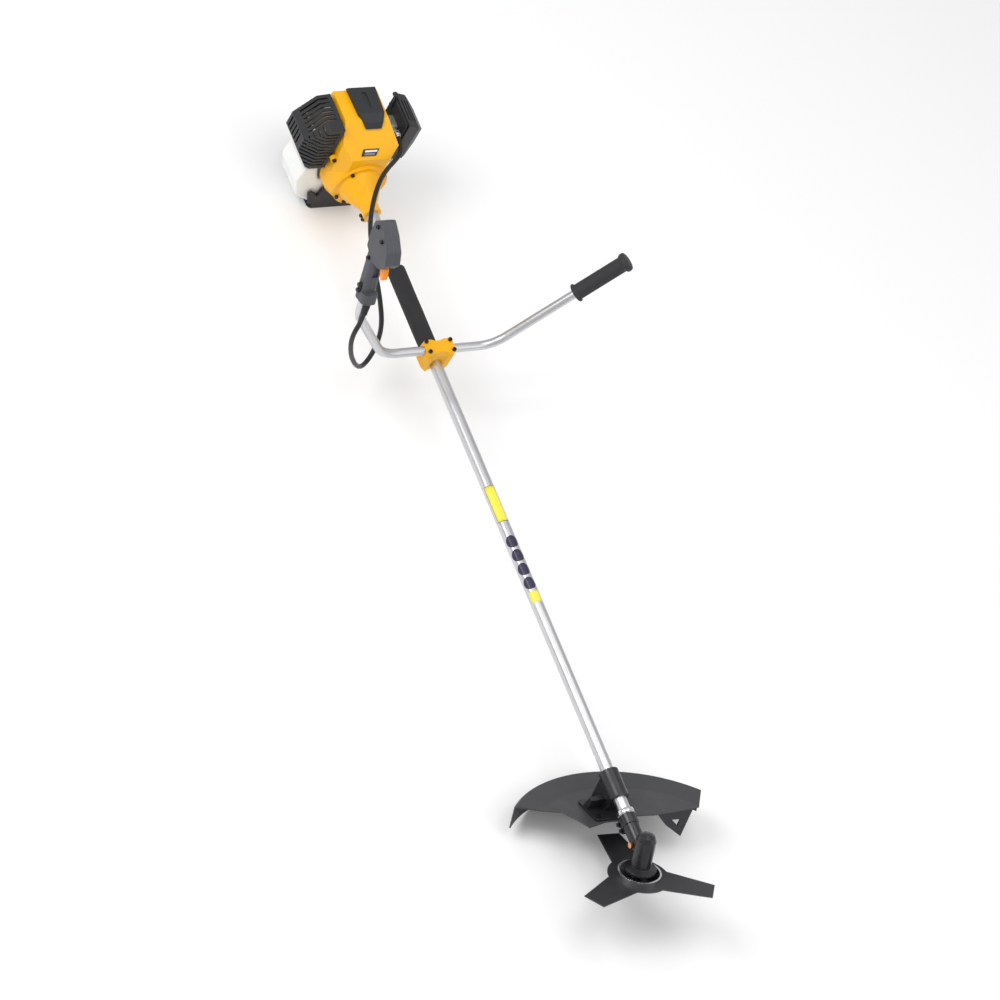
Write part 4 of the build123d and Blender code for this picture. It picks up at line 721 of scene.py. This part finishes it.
PLATE = [(-0.0270, 0.0085), (0.0075, 0.0085), (0.0150, 0.0235), (-0.0225, 0.0235)]
block("cover_plate", [on_slope(y, up, 0.0002) for y, up in PLATE], slope_normal * 0.0012,
      "film_black", 0.0004)
# (left, up, half width, half height, finish) of the two plain bars on the plate
PLATE_BARS = [(-0.0045, 0.0190, 0.0145, 0.0019, "film_pale"),
              (-0.0080, 0.0128, 0.0125, 0.0021, "film_grey")]
for index, (y, up, half_y, half_up, finish) in enumerate(PLATE_BARS):
    corners = [(y - half_y, up - half_up), (y + half_y, up - half_up),
               (y + half_y, up + half_up), (y - half_y, up + half_up)]
    block(f"cover_plate_bar_{index}", [on_slope(a, b, 0.0015) for a, b in corners],
          slope_normal * 0.0003, finish, 0.0001)

# black lining inside the upper flange's cup: painted shade in the cup's hollow, on a flange that is
# itself bright steel
turned("flange_cup_painted_shade", head, blade_axis,
       [(0.0142, -0.0433), (0.0398, -0.0433), (0.0398, -0.0380), (0.0392, -0.0380),
        (0.0388, -0.0424), (0.0142, -0.0427)],
       "casting", "rotor", 96)


# ---------------------------------------------------------------- stage and light
FLOOR_SIZE = 60
WORLD_STRENGTH = 0.62
LIGHT_AIM = Vector((0.9, 0, 0.15))
# name, place, size in metres, power in watts
LIGHTS = [("key", (0.2, -3.0, 3.2), 2.0, 78), ("fill", (3.2, 2.6, 2.6), 3.0, 22),
          ("top", (0.9, 0.2, 4.2), 3.0, 48)]


def add_stage():
    """Plain pale floor, an even world and large soft lights from both sides and above."""
    bpy.ops.mesh.primitive_plane_add(size=FLOOR_SIZE, location=(0.9, 0, 0))
    floor = bpy.context.active_object
    floor.name = "floor"
    pale = Shader("pale_floor", 0.9)
    tint = pale.mix(pale.noise(0.6), (0.93, 0.93, 0.93, 1), (0.95, 0.95, 0.95, 1))
    floor.data.materials.append(pale.finish(tint))
    world = bpy.data.worlds.new("studio")
    world.use_nodes = True
    background = world.node_tree.nodes["Background"]
    background.inputs["Color"].default_value = (1, 1, 1, 1)
    background.inputs["Strength"].default_value = WORLD_STRENGTH
    bpy.context.scene.world = world
    bpy.context.scene.view_settings.view_transform = "Standard"
    for name, place, size, power in LIGHTS:
        data = bpy.data.lights.new(name, "AREA")
        data.size = size
        data.energy = power
        lamp = bpy.data.objects.new(name, data)
        lamp.location = place
        lamp.rotation_mode = "QUATERNION"
        lamp.rotation_quaternion = (LIGHT_AIM - Vector(place)).to_track_quat("-Z", "Y")
        bpy.context.scene.collection.objects.link(lamp)


add_stage()
